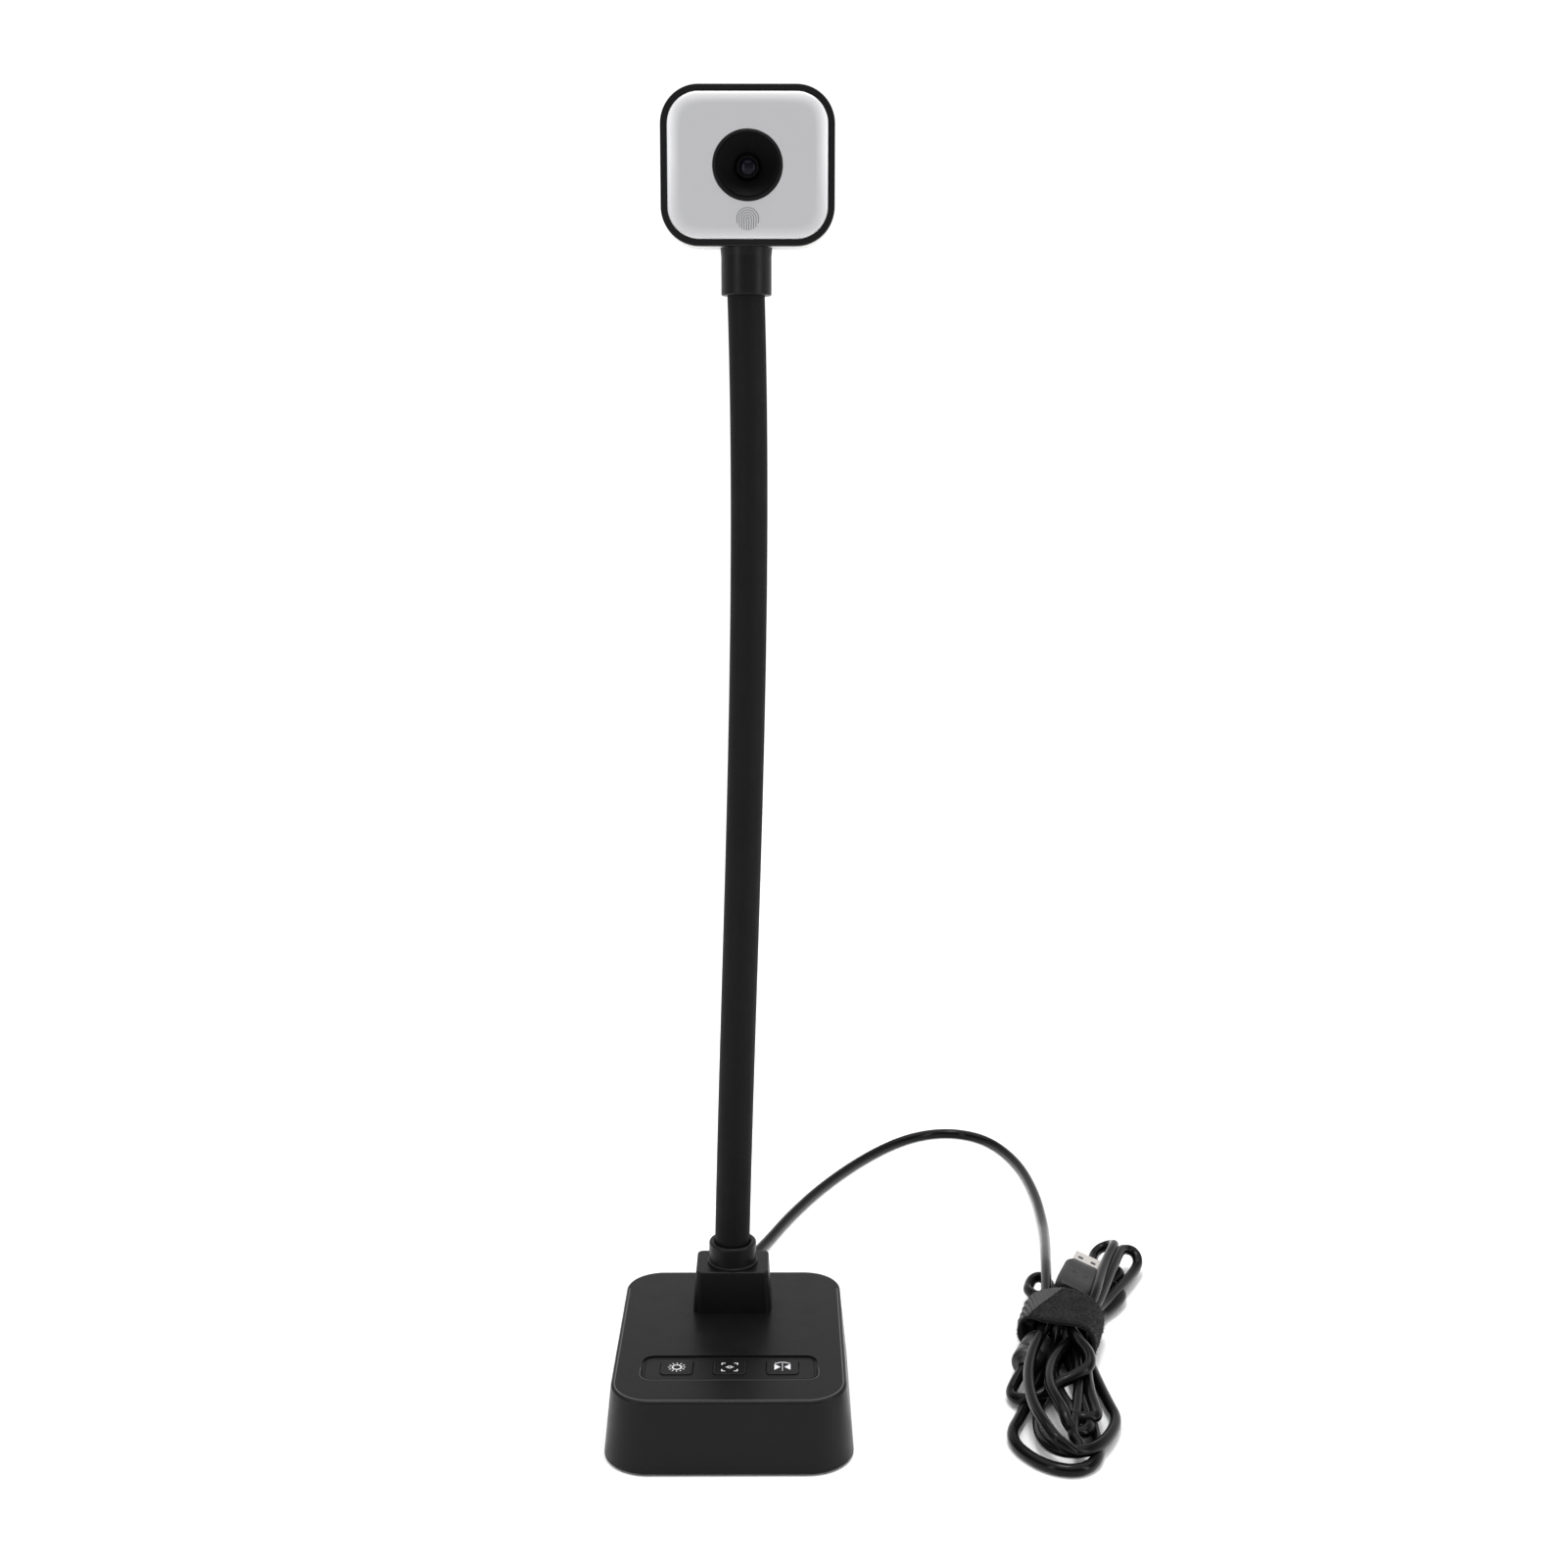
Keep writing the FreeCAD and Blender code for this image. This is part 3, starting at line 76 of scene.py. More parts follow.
def noise(tree, where, scale, detail=3.0, roughness=0.55):
    """Noise between 0 and 1, about scale features to the metre."""
    node = add(tree, "ShaderNodeTexNoise",
               Vector=where, Scale=scale, Detail=detail, Roughness=roughness)
    return node.outputs["Fac"]


def spread(tree, value, low, high, start=0.3, end=0.7):
    """Maps a noise value from start..end to low..high."""
    node = tree.nodes.new("ShaderNodeMapRange")
    connect(tree, node.inputs["Value"], value)
    for name, number in (("From Min", start), ("From Max", end), ("To Min", low), ("To Max", high)):
        node.inputs[name].default_value = number
    return node.outputs["Result"]


def blend_colours(tree, share, dark, light):
    """The colour between dark and light at that share."""
    node = tree.nodes.new("ShaderNodeMix")
    node.data_type = "RGBA"
    connect(tree, node.inputs["Factor"], share)
    node.inputs["A"].default_value = (*dark, 1)
    node.inputs["B"].default_value = (*light, 1)
    return node.outputs["Result"]


def bump(tree, height, strength, distance):
    """A bumped normal of that depth in metres."""
    node = add(tree, "ShaderNodeBump", Height=height, Strength=strength, Distance=distance)
    return node.outputs["Normal"]


def maths(tree, operation, *values):
    """The result of that operation on outputs or numbers."""
    node = tree.nodes.new("ShaderNodeMath")
    node.operation = operation
    for socket, value in zip(node.inputs, values):
        connect(tree, socket, value)
    return node.outputs[0]


def material(name, **fixed):
    """A new material with these shader values: (material, tree, shader, where its pattern is read)."""
    made = bpy.data.materials.new(name)
    made.use_nodes = True
    tree = made.node_tree
    shader = next(n for n in tree.nodes if n.type == "BSDF_PRINCIPLED")
    for key, value in fixed.items():
        shader.inputs[key.replace("_", " ")].default_value = value
    place = tree.nodes.new("ShaderNodeTexCoord").outputs["Object"]
    return made, tree, shader, place


def moulded(name, dark, light, rough, grain=1400.0, depth=0.00004, mottle=45.0, **fixed):
    """Moulded plastic or rubber: cloudy colour, fine grain, and gloss that wanders a little."""
    made, tree, shader, place = material(name, **fixed)
    cloud = noise(tree, place, mottle, 5.0)
    tree.links.new(blend_colours(tree, cloud, dark, light), shader.inputs["Base Color"])
    smear = noise(tree, place, mottle * 2.6, 4.0, 0.7)
    tree.links.new(spread(tree, smear, rough - 0.05, rough + 0.06), shader.inputs["Roughness"])
    fine = noise(tree, place, grain, 2.0, 0.6)
    tree.links.new(bump(tree, fine, 0.5, depth), shader.inputs["Normal"])
    return made


DRAWN_LINES = (1.0, 1.0, 12.0)


def plated(name, dark, light, rough):
    """Plated or turned metal, with fine drawn lines."""
    made, tree, shader, place = material(name, Metallic=1.0)
    lines = add(tree, "ShaderNodeMapping", Vector=place)
    lines.inputs["Scale"].default_value = DRAWN_LINES
    streak = noise(tree, lines.outputs["Vector"], 420.0, 6.0, 0.7)
    tree.links.new(blend_colours(tree, streak, dark, light), shader.inputs["Base Color"])
    tree.links.new(spread(tree, streak, rough - 0.07, rough + 0.09), shader.inputs["Roughness"])
    tree.links.new(bump(tree, streak, 0.25, 0.00003), shader.inputs["Normal"])
    return made


def grey(value):
    """A nearly neutral grey, a little blue."""
    return (value, value, value * 1.04)


HEAD_X, HEAD_Z = 7.3, 468.1
DIFFUSER_HALF_WIDTH, DIFFUSER_HALF_HEIGHT = 29.2, 26.1


def diffuser_material():
    """Milky plastic with a painted highlight: paler near the rim where the face rolls over towards the
    bezel, strongest at the top and weakest at the bottom.
    """
    made, tree, shader, place = material("diffuser")
    part = add(tree, "ShaderNodeSeparateXYZ", Vector=place)
    powers = []
    for axis, middle, half in (("X", HEAD_X, DIFFUSER_HALF_WIDTH), ("Z", HEAD_Z, DIFFUSER_HALF_HEIGHT)):
        share = spread(tree, part.outputs[axis], -1.0, 1.0, (middle - half) * MM, (middle + half) * MM)
        powers.append(maths(tree, "POWER", maths(tree, "ABSOLUTE", share), 7.0))
    near_rim = spread(tree, maths(tree, "ADD", *powers), 0.0, 1.0, 0.28, 0.85)
    upper = spread(tree, part.outputs["Z"], 0.35, 1.0, (HEAD_Z - 26) * MM, (HEAD_Z + 4) * MM)
    # Painted highlight: the rim band, scaled up towards the top, mixes towards the paler colour.
    painted_rim_highlight = maths(tree, "MULTIPLY", near_rim, upper)
    tree.links.new(blend_colours(tree, painted_rim_highlight, (0.40, 0.40, 0.411), (0.76, 0.76, 0.77)),
                   shader.inputs["Base Color"])
    cloud = noise(tree, place, 60.0, 3.0)
    tree.links.new(spread(tree, cloud, 0.34, 0.40), shader.inputs["Roughness"])
    return made


SLOTS = {
    "casing": moulded("casing", grey(0.003), grey(0.0042), 0.36, 1500.0, 0.00004,
                      Specular_IOR_Level=0.15),
    "closure": moulded("closure", grey(0.02), grey(0.03), 0.6, 1100.0),
    "bezel": moulded("bezel", grey(0.0035), grey(0.005), 0.34, 1500.0, 0.00002, Specular_IOR_Level=0.2),
    "lens_black": moulded("lens_black", grey(0.0012), grey(0.002), 0.6, 900.0, 0.00003,
                          Specular_IOR_Level=0.07),
    "feet_rubber": moulded("feet_rubber", grey(0.022), grey(0.034), 0.82, 700.0, 0.0001),
    "steel": plated("steel", (0.40, 0.40, 0.41), (0.56, 0.56, 0.57), 0.38),
    "plated_steel": plated("plated_steel", (0.46, 0.46, 0.47), (0.62, 0.62, 0.62), 0.28),
    "neck_rubber": moulded("neck_rubber", grey(0.003), grey(0.0045), 0.62, 1300.0, 0.00005,
                           Specular_IOR_Level=0.12),
    "shell_white": moulded("shell_white", (0.60, 0.60, 0.585), (0.68, 0.68, 0.66), 0.42, 1300.0,
                           0.00003),
    "diffuser": diffuser_material(),
    "circuit_board": moulded("circuit_board", (0.012, 0.10, 0.04), (0.02, 0.15, 0.065), 0.32,
                             500.0, 0.00005),
    "component_black": moulded("component_black", grey(0.016), grey(0.024), 0.5, 900.0),
    "component_cream": moulded("component_cream", (0.66, 0.62, 0.52), (0.77, 0.74, 0.64), 0.5, 900.0),
    "copper": plated("copper", (0.62, 0.29, 0.16), (0.76, 0.40, 0.24), 0.3),
    "cord_jacket": moulded("cord_jacket", grey(0.0015), grey(0.0022), 0.2, 900.0, 0.000002,
                           Specular_IOR_Level=0.13),
    "suppressor": moulded("suppressor", grey(0.004), grey(0.006), 0.36, 1100.0, 0.00005),
    "strap_cloth": moulded("strap_cloth", grey(0.002), grey(0.007), 0.95, 900.0, 0.0004,
                           Specular_IOR_Level=0.1, Sheen_Weight=0.12),
    "plug_black": moulded("plug_black", grey(0.011), grey(0.015), 0.5, 1200.0, 0.00005,
                          Specular_IOR_Level=0.25),
    "plug_metal": plated("plug_metal", (0.60, 0.57, 0.54), (0.78, 0.75, 0.72), 0.3),
}


def dress(obj, slot):
    """Puts the slot's material on a new piece."""
    obj.data.materials.append(SLOTS[slot])
    return obj


for row in frame["record"]["subparts"]:
    shown = nodes[row["node"]]
    shown.data.materials.clear()
    shown.data.materials.append(SLOTS[row["material_slot"]])


# ---------------------------------------------------------------- meshes


def mesh_piece(name, points, faces, smooth=True):
    """A new mesh object of these points, in metres, and faces."""
    mesh = bpy.data.meshes.new(name)
    mesh.from_pydata([tuple(p) for p in points], [], faces)
    mesh.update()
    if smooth:
        mesh.shade_smooth()
    made = bpy.data.objects.new(name, mesh)
    bpy.context.scene.collection.objects.link(made)
    return made


def ring_faces(rings, around, closed_along=False):
    """Quads between rings of points that follow each other."""
    steps = rings if closed_along else rings - 1
    faces = []
    for i in range(steps):
        low, high = i * around, (i + 1) % rings * around
        faces += [(low + j, low + (j + 1) % around, high + (j + 1) % around, high + j)
                  for j in range(around)]
    return faces


# ---------------------------------------------------------------- camera

FOCAL_LENGTH = 42.87
camera_data = bpy.data.cameras.new("camera")
camera_data.sensor_width = 36.0
camera_data.lens = FOCAL_LENGTH
camera_data.shift_y = -0.0562
camera_data.clip_start = 0.01
camera = bpy.data.objects.new("camera", camera_data)
camera.location = (0.01762, -0.68086, 0.37472)
camera.rotation_euler = (pi / 2 - 0.14337, 0, -0.00408)
bpy.context.scene.collection.objects.link(camera)
bpy.context.scene.camera = camera


# ---------------------------------------------------------------- cable

CORD_RADIUS = 2.25
STRAP = (135.3, 48.7)
STRAP_TURN = radians(-17.0)
MOUTH = 15.0
LEAD = [
    (0, 76, 10), (0, 92, 10), (3, 110, 4.0), (12, 133, 2.3), (24, 165, 2.3), (41, 201, 2.3), (64, 238, 2.3),
    (87, 263.5, 2.3), (109, 271.5, 2.3), (129, 261, 2.3), (141, 229, 2.3), (144.5, 190, 2.3),
    (143, 152, 3.0), (140, 126, 7.5), (136.5, 101, 12), (134, 82, 14.5),
]
# Each fold of the hank: which side of the strap, middle of its round end (along, across), the
# round end's half length and half width, how far it is turned, which leg comes first, how much
# each leg swells, where each leg leaves the strap (across, up), and the heights of the first
# leg's end, the tip and the last leg's end. Millimetres and degrees, in the strap's own frame.
FOLDS = [
    (-1, (-92, 14), (8, 6), 60, 1, (-7.8, 2), (-3.4, 13.1), (8.2, 8.5), (12, 5, 7)),
    (1, (69.5, 9), (7, 4.8), 6, -1, (-0.8, 1.5), (12.2, 13.1), (5.2, 3.9), (12, 8, 5)),
    (-1, (-79.5, 8), (28, 17), 32, -1, (1.5, 1), (7, 3.9), (-1.5, 3.9), (2.3, 2.3, 2.3)),
    (1, (26, -12.5), (9, 5), -12, 1, (-1.5, 0.5), (-11.0, 8.5), (-6.4, 8.5), (8, 9, 7)),
    (-1, (-66, 16.6), (34, 15.4), 0, 1, (0, -0.5), (3, 3.9), (11.6, 3.9), (2.3, 6.8, 3)),
    (1, (36.5, 17), (7, 4.3), -8, -1, (1, 0), (13.5, 3.9), (9.5, 5), (3.9, 5, 5)),
    (-1, (-69, 19.6), (6, 5.2), -10, -1, (-2, -3.5), (12.8, 8.5), (-1, 8), (7, 7.5, 6)),
    (-1, (-77, 17.5), (7, 5), 8, -1, (0, -7.8), (3.4, 5), (9, 10), (6, 6, 11.5)),
    (1, (65.5, 20.6), (6.5, 4), 12, 1, (0, 0.3), (13.6, 10), (13.6, 7), (11, 9, 5)),
]
UNDER_PLUG = [
    (15, -1, 3.9), (30, 2, 3.9), (48, 8, 4), (56, 11, 4.5), (60, 15, 5),
    (56, 18.5, 5), (48, 16, 4.5), (30, 9, 3.9), (15, 1, 4.5),
]


def beside_strap(along, across, up):
    """A point given along the strap's bundle, across it and up, as x, y, z."""
    c, s = cos(STRAP_TURN), sin(STRAP_TURN)
    return (STRAP[0] + across * c - along * s, STRAP[1] + across * s + along * c, up)


TO_PLUG = [
    beside_strap(-15, 5.3, 13.1), (138.1, 19, 14), (141, 9, 13.5), (139.5, 1, 12), (133, -2.5, 10.3),
    (126, -5, 8.3), (119, -9.5, 6.2), (111, -9.5, 4), (108, -3, 3), (111, 4, 4.5),
    (116, 13, 6.4), (124.2, 31.2, 6.4), beside_strap(-4, -9, 9), beside_strap(5, -2, 12),
    (141.3, 60.2, 13.4),
]


def fold_leg(side, middle, reach, turn, leg_side, swell, slot, height):
    """From the strap to where the round end begins."""
    end = (middle[0] - side * leg_side * reach[1] * sin(turn), middle[1] + leg_side * reach[1] * cos(turn))
    path = [beside_strap(side * MOUTH, *slot)]
    for t in (0.36, 0.72):
        along = side * MOUTH + (end[0] - side * MOUTH) * t
        across = slot[0] + (end[1] - slot[0]) * t + swell
        path.append(beside_strap(along, across, slot[1] + (height - slot[1]) * min(1, 1.4 * t)))
    return path


def fold(side, middle, reach, degrees_turned, way, swells, out, back, heights):
    """One loop of the hank, out of the strap, round its tip and back in."""
    turn = radians(degrees_turned)
    first = fold_leg(side, middle, reach, turn, -way, swells[0], out, heights[0])
    last = fold_leg(side, middle, reach, turn, way, swells[1], back, heights[2])
    tip = []
    for i in range(5):
        angle = radians(45 * i - 90)
        ahead, aside = reach[0] * cos(angle), way * reach[1] * sin(angle)
        low = heights[0] if i < 2 else heights[2]
        tip.append(beside_strap(middle[0] + side * (ahead * cos(turn) - aside * sin(turn)),
                                middle[1] + ahead * sin(turn) + aside * cos(turn),
                                heights[1] + (low - heights[1]) * abs(i - 2) / 2))
    return first + tip + last[::-1]


LAST_TWO_FOLDS = 7
route = list(LEAD)
for number, entry in enumerate(FOLDS):
    if number == LAST_TWO_FOLDS:
        route += [beside_strap(*p) for p in UNDER_PLUG]
    route += fold(*entry)
route += TO_PLUG

cord_data = bpy.data.curves.new("usb_cord", "CURVE")
cord_data.dimensions = "3D"
cord_data.bevel_depth = CORD_RADIUS * MM
cord_data.bevel_resolution = 6
cord_data.resolution_u = 10
cord_data.use_fill_caps = True
line = cord_data.splines.new("NURBS")
line.points.add(len(route) - 1)
for spot, p in zip(line.points, route):
    spot.co = (p[0] * MM, p[1] * MM, p[2] * MM, 1)
line.order_u = 3
line.use_endpoint_u = True
cord = bpy.data.objects.new("usb_cord", cord_data)
bpy.context.scene.collection.objects.link(cord)
dress(cord, "cord_jacket")
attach(cord, "base")
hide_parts("cable_tube", "cable_hank")


# ---------------------------------------------------------------- strap

STRAP_WIDTH, STRAP_HEIGHT, STRAP_CORNER = 33.0, 18.0, 8.5
STRAP_OFFSET = 1.25
STRAP_THICK = 1.5
HOOK_PITCH = 1.6


def strap_outline(count, inset):
    """Points round the strap's section (across, up), and the way out at each."""
    w, h, r = STRAP_WIDTH / 2 - inset, STRAP_HEIGHT / 2 - inset, STRAP_CORNER - inset
    flat, side = 2 * (w - r), 2 * (h - r)
    arc = r * pi / 2
    total = 2 * flat + 2 * side + 4 * arc
    found = []
    for i in range(count):
        d = total * i / count
        for quarter, (run, cx, cy) in enumerate(((side, w - r, h - r), (flat, r - w, h - r),
                                                 (side, r - w, r - h), (flat, w - r, r - h))):
            facing = quarter * pi / 2
            if d < run:
                ahead = d - run
                found.append((cx + r * cos(facing) - ahead * sin(facing),
                              cy + r * sin(facing) + ahead * cos(facing), cos(facing), sin(facing)))
                break
            d -= run
            if d < arc:
                angle = facing + d / r
                found.append((cx + r * cos(angle), cy + r * sin(angle), cos(angle), sin(angle)))
                break
            d -= arc
    return found


def smooth(value):
    """From 0 to 1, eased, as value goes from 0 to 1."""
    value = min(1.0, max(0.0, value))
    return value * value * (3 - 2 * value)


def strap_reach(across, up):
    """Where the strap's front and back edges lie, along the bundle, at that place round it."""
    low = 1 - up / STRAP_HEIGHT
    front = -17.5 - 4.5 * smooth((across + 15) / 10) - 2.0 * smooth((across - 5) / 11) * low
    back = 2.5 + 6.5 * cos(pi * (across - 0.5) / 34) ** 2 * (1 - 0.5 * low)
    return front, back


def is_hook(across, along, up):
    """Whether that place is on the tie's ribbed hook patch, not its pile."""
    return up > 1 and across < 0.38 * (along - 8) - 1.2


def pile(spot, amount):
    """Height of the cloth's pile there, in millimetres."""
    fuzz = fine_noise.fractal(spot * 1.9, 0.8, 2.1, 4)
    lump = fine_noise.noise(spot * 0.16)
    return amount * (0.42 * fuzz + 0.75 * lump)


AROUND, ALONG = 300, 72
strap_points, strap_hooks = [], []
outline = strap_outline(AROUND, 0)
for i in range(ALONG + 1):
    t = i / ALONG
    lip = min(1.0, (1 - abs(2 * t - 1)) * 9)
    for across, up, out_x, out_z in outline:
        front, back = strap_reach(across, up + STRAP_HEIGHT / 2)
        wave = 0.7 * fine_noise.noise(Vector((across * 0.2, up * 0.2, 7 + 5 * round(t))))
        along = front + (back - front) * t + wave * abs(2 * t - 1)
        spot = Vector((across, along, up))
        strap_hooks.append(is_hook(across, along, up))
        if strap_hooks[-1]:
            rows, columns = along * 0.92 - across * 0.38, along * 0.3 + across * 0.92
            ridge = max(0.0, sin(tau * rows / HOOK_PITCH))
            swell = 0.05 + 0.5 * ridge * (0.5 + 0.5 * cos(tau * columns / HOOK_PITCH))
        else:
            swell = pile(spot, 0.6)
        swell -= (1 - lip) * 0.5
        lift = 0.15 if up < 3 - STRAP_HEIGHT / 2 else 1.0
        strap_points.append((across + STRAP_OFFSET + out_x * swell * lift, along,
                             max(0.12, up + out_z * swell * lift + STRAP_HEIGHT / 2 + 0.1)))
inner = strap_outline(AROUND, STRAP_THICK)
for i in range(ALONG + 1):
    t = 1 - i / ALONG
    for across, up, out_x, out_z in inner:
        front, back = strap_reach(across, up + STRAP_HEIGHT / 2)
        along = front + (back - front) * t
        strap_points.append((across + STRAP_OFFSET, along, up + STRAP_HEIGHT / 2 + 0.1))
strap_points = [Vector(beside_strap(along, across, up)) * MM for across, along, up in strap_points]
strap_faces = ring_faces(2 * (ALONG + 1), AROUND, closed_along=True)
TUFTS, TUFT_SWAY, TUFT_HALF_WIDTH = 6500, 0.75, 0.09
TUFT_LENGTHS = (0.5, 1.1)
LOWEST_TUFT = 0.003
strap_middle = Vector(beside_strap(0, STRAP_OFFSET, STRAP_HEIGHT / 2)) * MM
random_source = random.Random(4)
for _ in range(TUFTS):
    row, column = random_source.randrange(1, ALONG), random_source.randrange(AROUND)
    if strap_hooks[row * AROUND + column]:
        continue
    foot = strap_points[row * AROUND + column]
    if foot.z < LOWEST_TUFT:
        continue
    outwards = foot - strap_middle
    outwards.y *= 0.3
    outwards = outwards.normalized()
    sway = Vector([random_source.uniform(-1, 1) for _ in range(3)])
    tip = foot + (outwards + TUFT_SWAY * sway).normalized() * random_source.uniform(*TUFT_LENGTHS) * MM
    across_foot = sway.cross(outwards).normalized() * TUFT_HALF_WIDTH * MM
    start = len(strap_points)
    strap_points += [foot - across_foot, foot + across_foot, tip]
    strap_faces.append((start, start + 1, start + 2))
strap = mesh_piece("strap_cloth", strap_points, strap_faces)
dress(strap, "strap_cloth")
strap.data.materials.append(moulded("strap_hooks", grey(0.012), grey(0.03), 0.5, 900.0, 0.0002))
for face in strap.data.polygons[:ALONG * AROUND]:
    if strap_hooks[face.vertices[0]]:
        face.material_index = 1
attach(strap, "base")
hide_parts("cable_strap")


# ---------------------------------------------------------------- plug and suppressor


def turned(name, profile, base, direction, around=56):
    """A turned shape: (distance along, radius) in millimetres from base towards direction."""
    direction = Vector(direction).normalized()
    aside = direction.orthogonal().normalized()
    other = direction.cross(aside)
    points = []
    for along, radius in profile:
        for j in range(around):
            angle = tau * j / around
            points.append((Vector(base) + direction * along
                           + (aside * cos(angle) + other * sin(angle)) * radius) * MM)
    return mesh_piece(name, points, ring_faces(len(profile), around))


ferrite_profile = [(-2.2, 2.3), (-2.0, 2.9), (0.0, 3.3), (0.15, 4.9), (0.6, 5.7), (1.5, 6.15),
                   (2.6, 6.3), (6.4, 6.3), (6.6, 6.12), (7.1, 6.12), (7.3, 6.3), (17.4, 6.3),
                   (18.5, 6.15), (19.4, 5.7), (19.85, 4.9), (20.0, 3.3), (22.0, 2.9), (22.2, 2.3)]
ferrite = turned("ferrite_moulding", ferrite_profile, (116, 13, 6.4), (9, 20, 0))
dress(ferrite, "suppressor")
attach(ferrite, "base")
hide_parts("ferrite_core")

roll_profile = [(0.0, 0.01), (0.1, 0.9), (0.6, 1.7), (1.5, 2.15), (3.0, 2.3),
                (15.0, 2.3), (16.5, 2.15), (17.4, 1.7), (17.9, 0.9), (18.0, 0.01)]
strap_roll = turned("strap_tail_roll", roll_profile, beside_strap(-16, -10.6, 13.0),
                    (-sin(STRAP_TURN), cos(STRAP_TURN), 0), around=32)
dress(strap_roll, "strap_cloth")
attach(strap_roll, "base")

PLUG_PLACE = (151.0, 88.5, 10.8)
PLUG_TURN, PLUG_PITCH, PLUG_ROLL = radians(-19), radians(-5), radians(18)
PLUG = Matrix.Translation(Vector(PLUG_PLACE) * MM) @ (
    Matrix.Rotation(PLUG_TURN, 4, "Z") @ Matrix.Rotation(PLUG_PITCH, 4, "X")
    @ Matrix.Rotation(PLUG_ROLL, 4, "Y"))
GRIP_LENGTH = 30.0


def grip_section(width, height, corner, along, steps=8):
    """A rounded rectangle across the plug at that place along it."""
    points = []
    for quarter, (sx, sz) in enumerate(((1, 1), (-1, 1), (-1, -1), (1, -1))):
        for j in range(steps + 1):
            angle = quarter * pi / 2 + j / steps * pi / 2
            points.append((sx * (width / 2 - corner) + corner * cos(angle), along,
                           sz * (height / 2 - corner) + corner * sin(angle)))
    return points


def along_plug(name, rows, slot_name):
    """A closed piece through these (along, width, height, corner) sections, in the plug's frame."""
    points = []
    for along, width, height, corner in rows:
        points += grip_section(width, height, corner, along)
    around = len(points) // len(rows)
    faces = ring_faces(len(rows), around)
    faces += [tuple(range(around)), tuple(reversed(range(len(points) - around, len(points))))]
    made = mesh_piece(name, [PLUG @ (Vector(p) * MM) for p in points], faces)
    made.data.set_sharp_from_angle(angle=radians(35))
    dress(made, slot_name)
    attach(made, "base")
    return made


grip_rows = [(0.0, 12.2, 6.0, 1.5), (-0.25, 12.8, 6.6, 1.8), (-3.6, 15.6, 7.7, 2.4),
             (-4.3, 15.9, 7.95, 2.5), (-5.2, 16.0, 8.0, 2.5), (-22.0, 16.0, 8.0, 2.5),
             (-27.0, 15.2, 7.9, 2.5), (-29.2, 13.6, 7.2, 2.5), (-GRIP_LENGTH, 11.0, 6.0, 2.2)]
grip = along_plug("plug_grip_moulding", grip_rows, "plug_black")
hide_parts("usb_plug_grip")

dimple_profile = [(0.0, 1.25), (0.12, 1.2), (0.16, 1.05), (0.02, 0.75), (-0.05, 0.01)]
for number, aside in enumerate((-2.6, 2.6)):
    middle = PLUG @ (Vector((aside, -15.5, 3.98)) * MM) / MM
    upwards = PLUG.to_3x3() @ Vector((0, 0, 1))
    dimple = turned(f"grip_dimple_{number + 1}", dimple_profile, middle, upwards, around=24)
    dress(dimple, "plug_black")
    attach(dimple, "base")
LATCH_ASIDE, LATCH_ALONG, LATCH_LEVEL, LATCH_THICK = 2.9, 6.0, 2.262, 0.02
LATCH_CORNERS = ((-1.1, -1.25), (1.1, -1.25), (1.1, 1.25), (-1.1, 1.25))
BOX_FACES = [(0, 1, 2, 3), (7, 6, 5, 4), (0, 4, 5, 1), (1, 5, 6, 2), (2, 6, 7, 3), (3, 7, 4, 0)]
for number, (side, up) in enumerate(((-1, 1), (1, 1), (-1, -1), (1, -1))):
    points = [PLUG @ (Vector((side * LATCH_ASIDE + x, LATCH_ALONG + y, level)) * MM)
              for level in (up * LATCH_LEVEL, up * LATCH_LEVEL - up * LATCH_THICK)
              for x, y in LATCH_CORNERS]
    latch = mesh_piece(f"latch_hole_{number + 1}", points, BOX_FACES, smooth=False)
    dress(latch, "component_black")
    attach(latch, "base")


# ---------------------------------------------------------------- neck

LINKS = 17
PIVOT_LOW, PIVOT_HIGH = 58.0, 417.0
SLEEVE_LOW, SLEEVE_HIGH = 46.0, 428.0
LEANS = (0.0, 3.7, 6.9, 6.6)
NECK_RADIUS = 6.95
# Rounding can throw a bend's axis far off. These sleeves list their ends from their upper body to their
# lower one, because the other way round went wrong in the most bent poses; the list is not used here.
BENT_FROM_ABOVE = (6, 11)


def neck_centre(t):
    """The neck's centreline, t from 0 at the lowest pivot to 1 at the highest."""
    x = 0.0
    for i, lean in enumerate(LEANS):
        weight = lean
        for j in range(len(LEANS)):
            if j != i:
                weight *= (3 * t - j) / (i - j)
        x += weight
    return Vector((x, 26.5 - 2.0 * t, PIVOT_LOW + t * (PIVOT_HIGH - PIVOT_LOW)))


def neck_sleeve(number):
    """The stretch of sleeve round one joint, from the middle of one link to the next."""
    span = PIVOT_HIGH - PIVOT_LOW
    low = (number - 0.5) / LINKS if number else (SLEEVE_LOW - PIVOT_LOW) / span
    high = (number + 0.5) / LINKS if number < LINKS else (SLEEVE_HIGH - PIVOT_LOW) / span
    rings, around = 12, 40
    points = []
    for i in range(rings):
        t = low + (high - low) * i / (rings - 1)
        centre = neck_centre(t)
        heading = (neck_centre(t + 0.002) - neck_centre(t - 0.002)).normalized()
        aside = heading.cross(Vector((0, -1, 0))).normalized()
        ahead = heading.cross(aside)
        for j in range(around):
            angle = tau * j / around
            points.append((centre + (aside * cos(angle) + ahead * sin(angle)) * NECK_RADIUS) * MM)
    made = mesh_piece(f"neck_sleeve_{number + 1:02d}", points, ring_faces(rings, around))
    dress(made, "neck_rubber")
    below = f"neck_link_{number:02d}" if number else "base"
    above = f"neck_link_{number + 1:02d}" if number < LINKS else "head"
    ends = [(below, tuple(neck_centre(low) * MM)), (above, tuple(neck_centre(high) * MM))]
    if number in BENT_FROM_ABOVE:
        ends.reverse()
    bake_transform(made)
    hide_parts(below if number else "neck_lower_fitting")
    if number == LINKS:
        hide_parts("neck_upper_fitting")


for number in range(LINKS + 1):
    neck_sleeve(number)


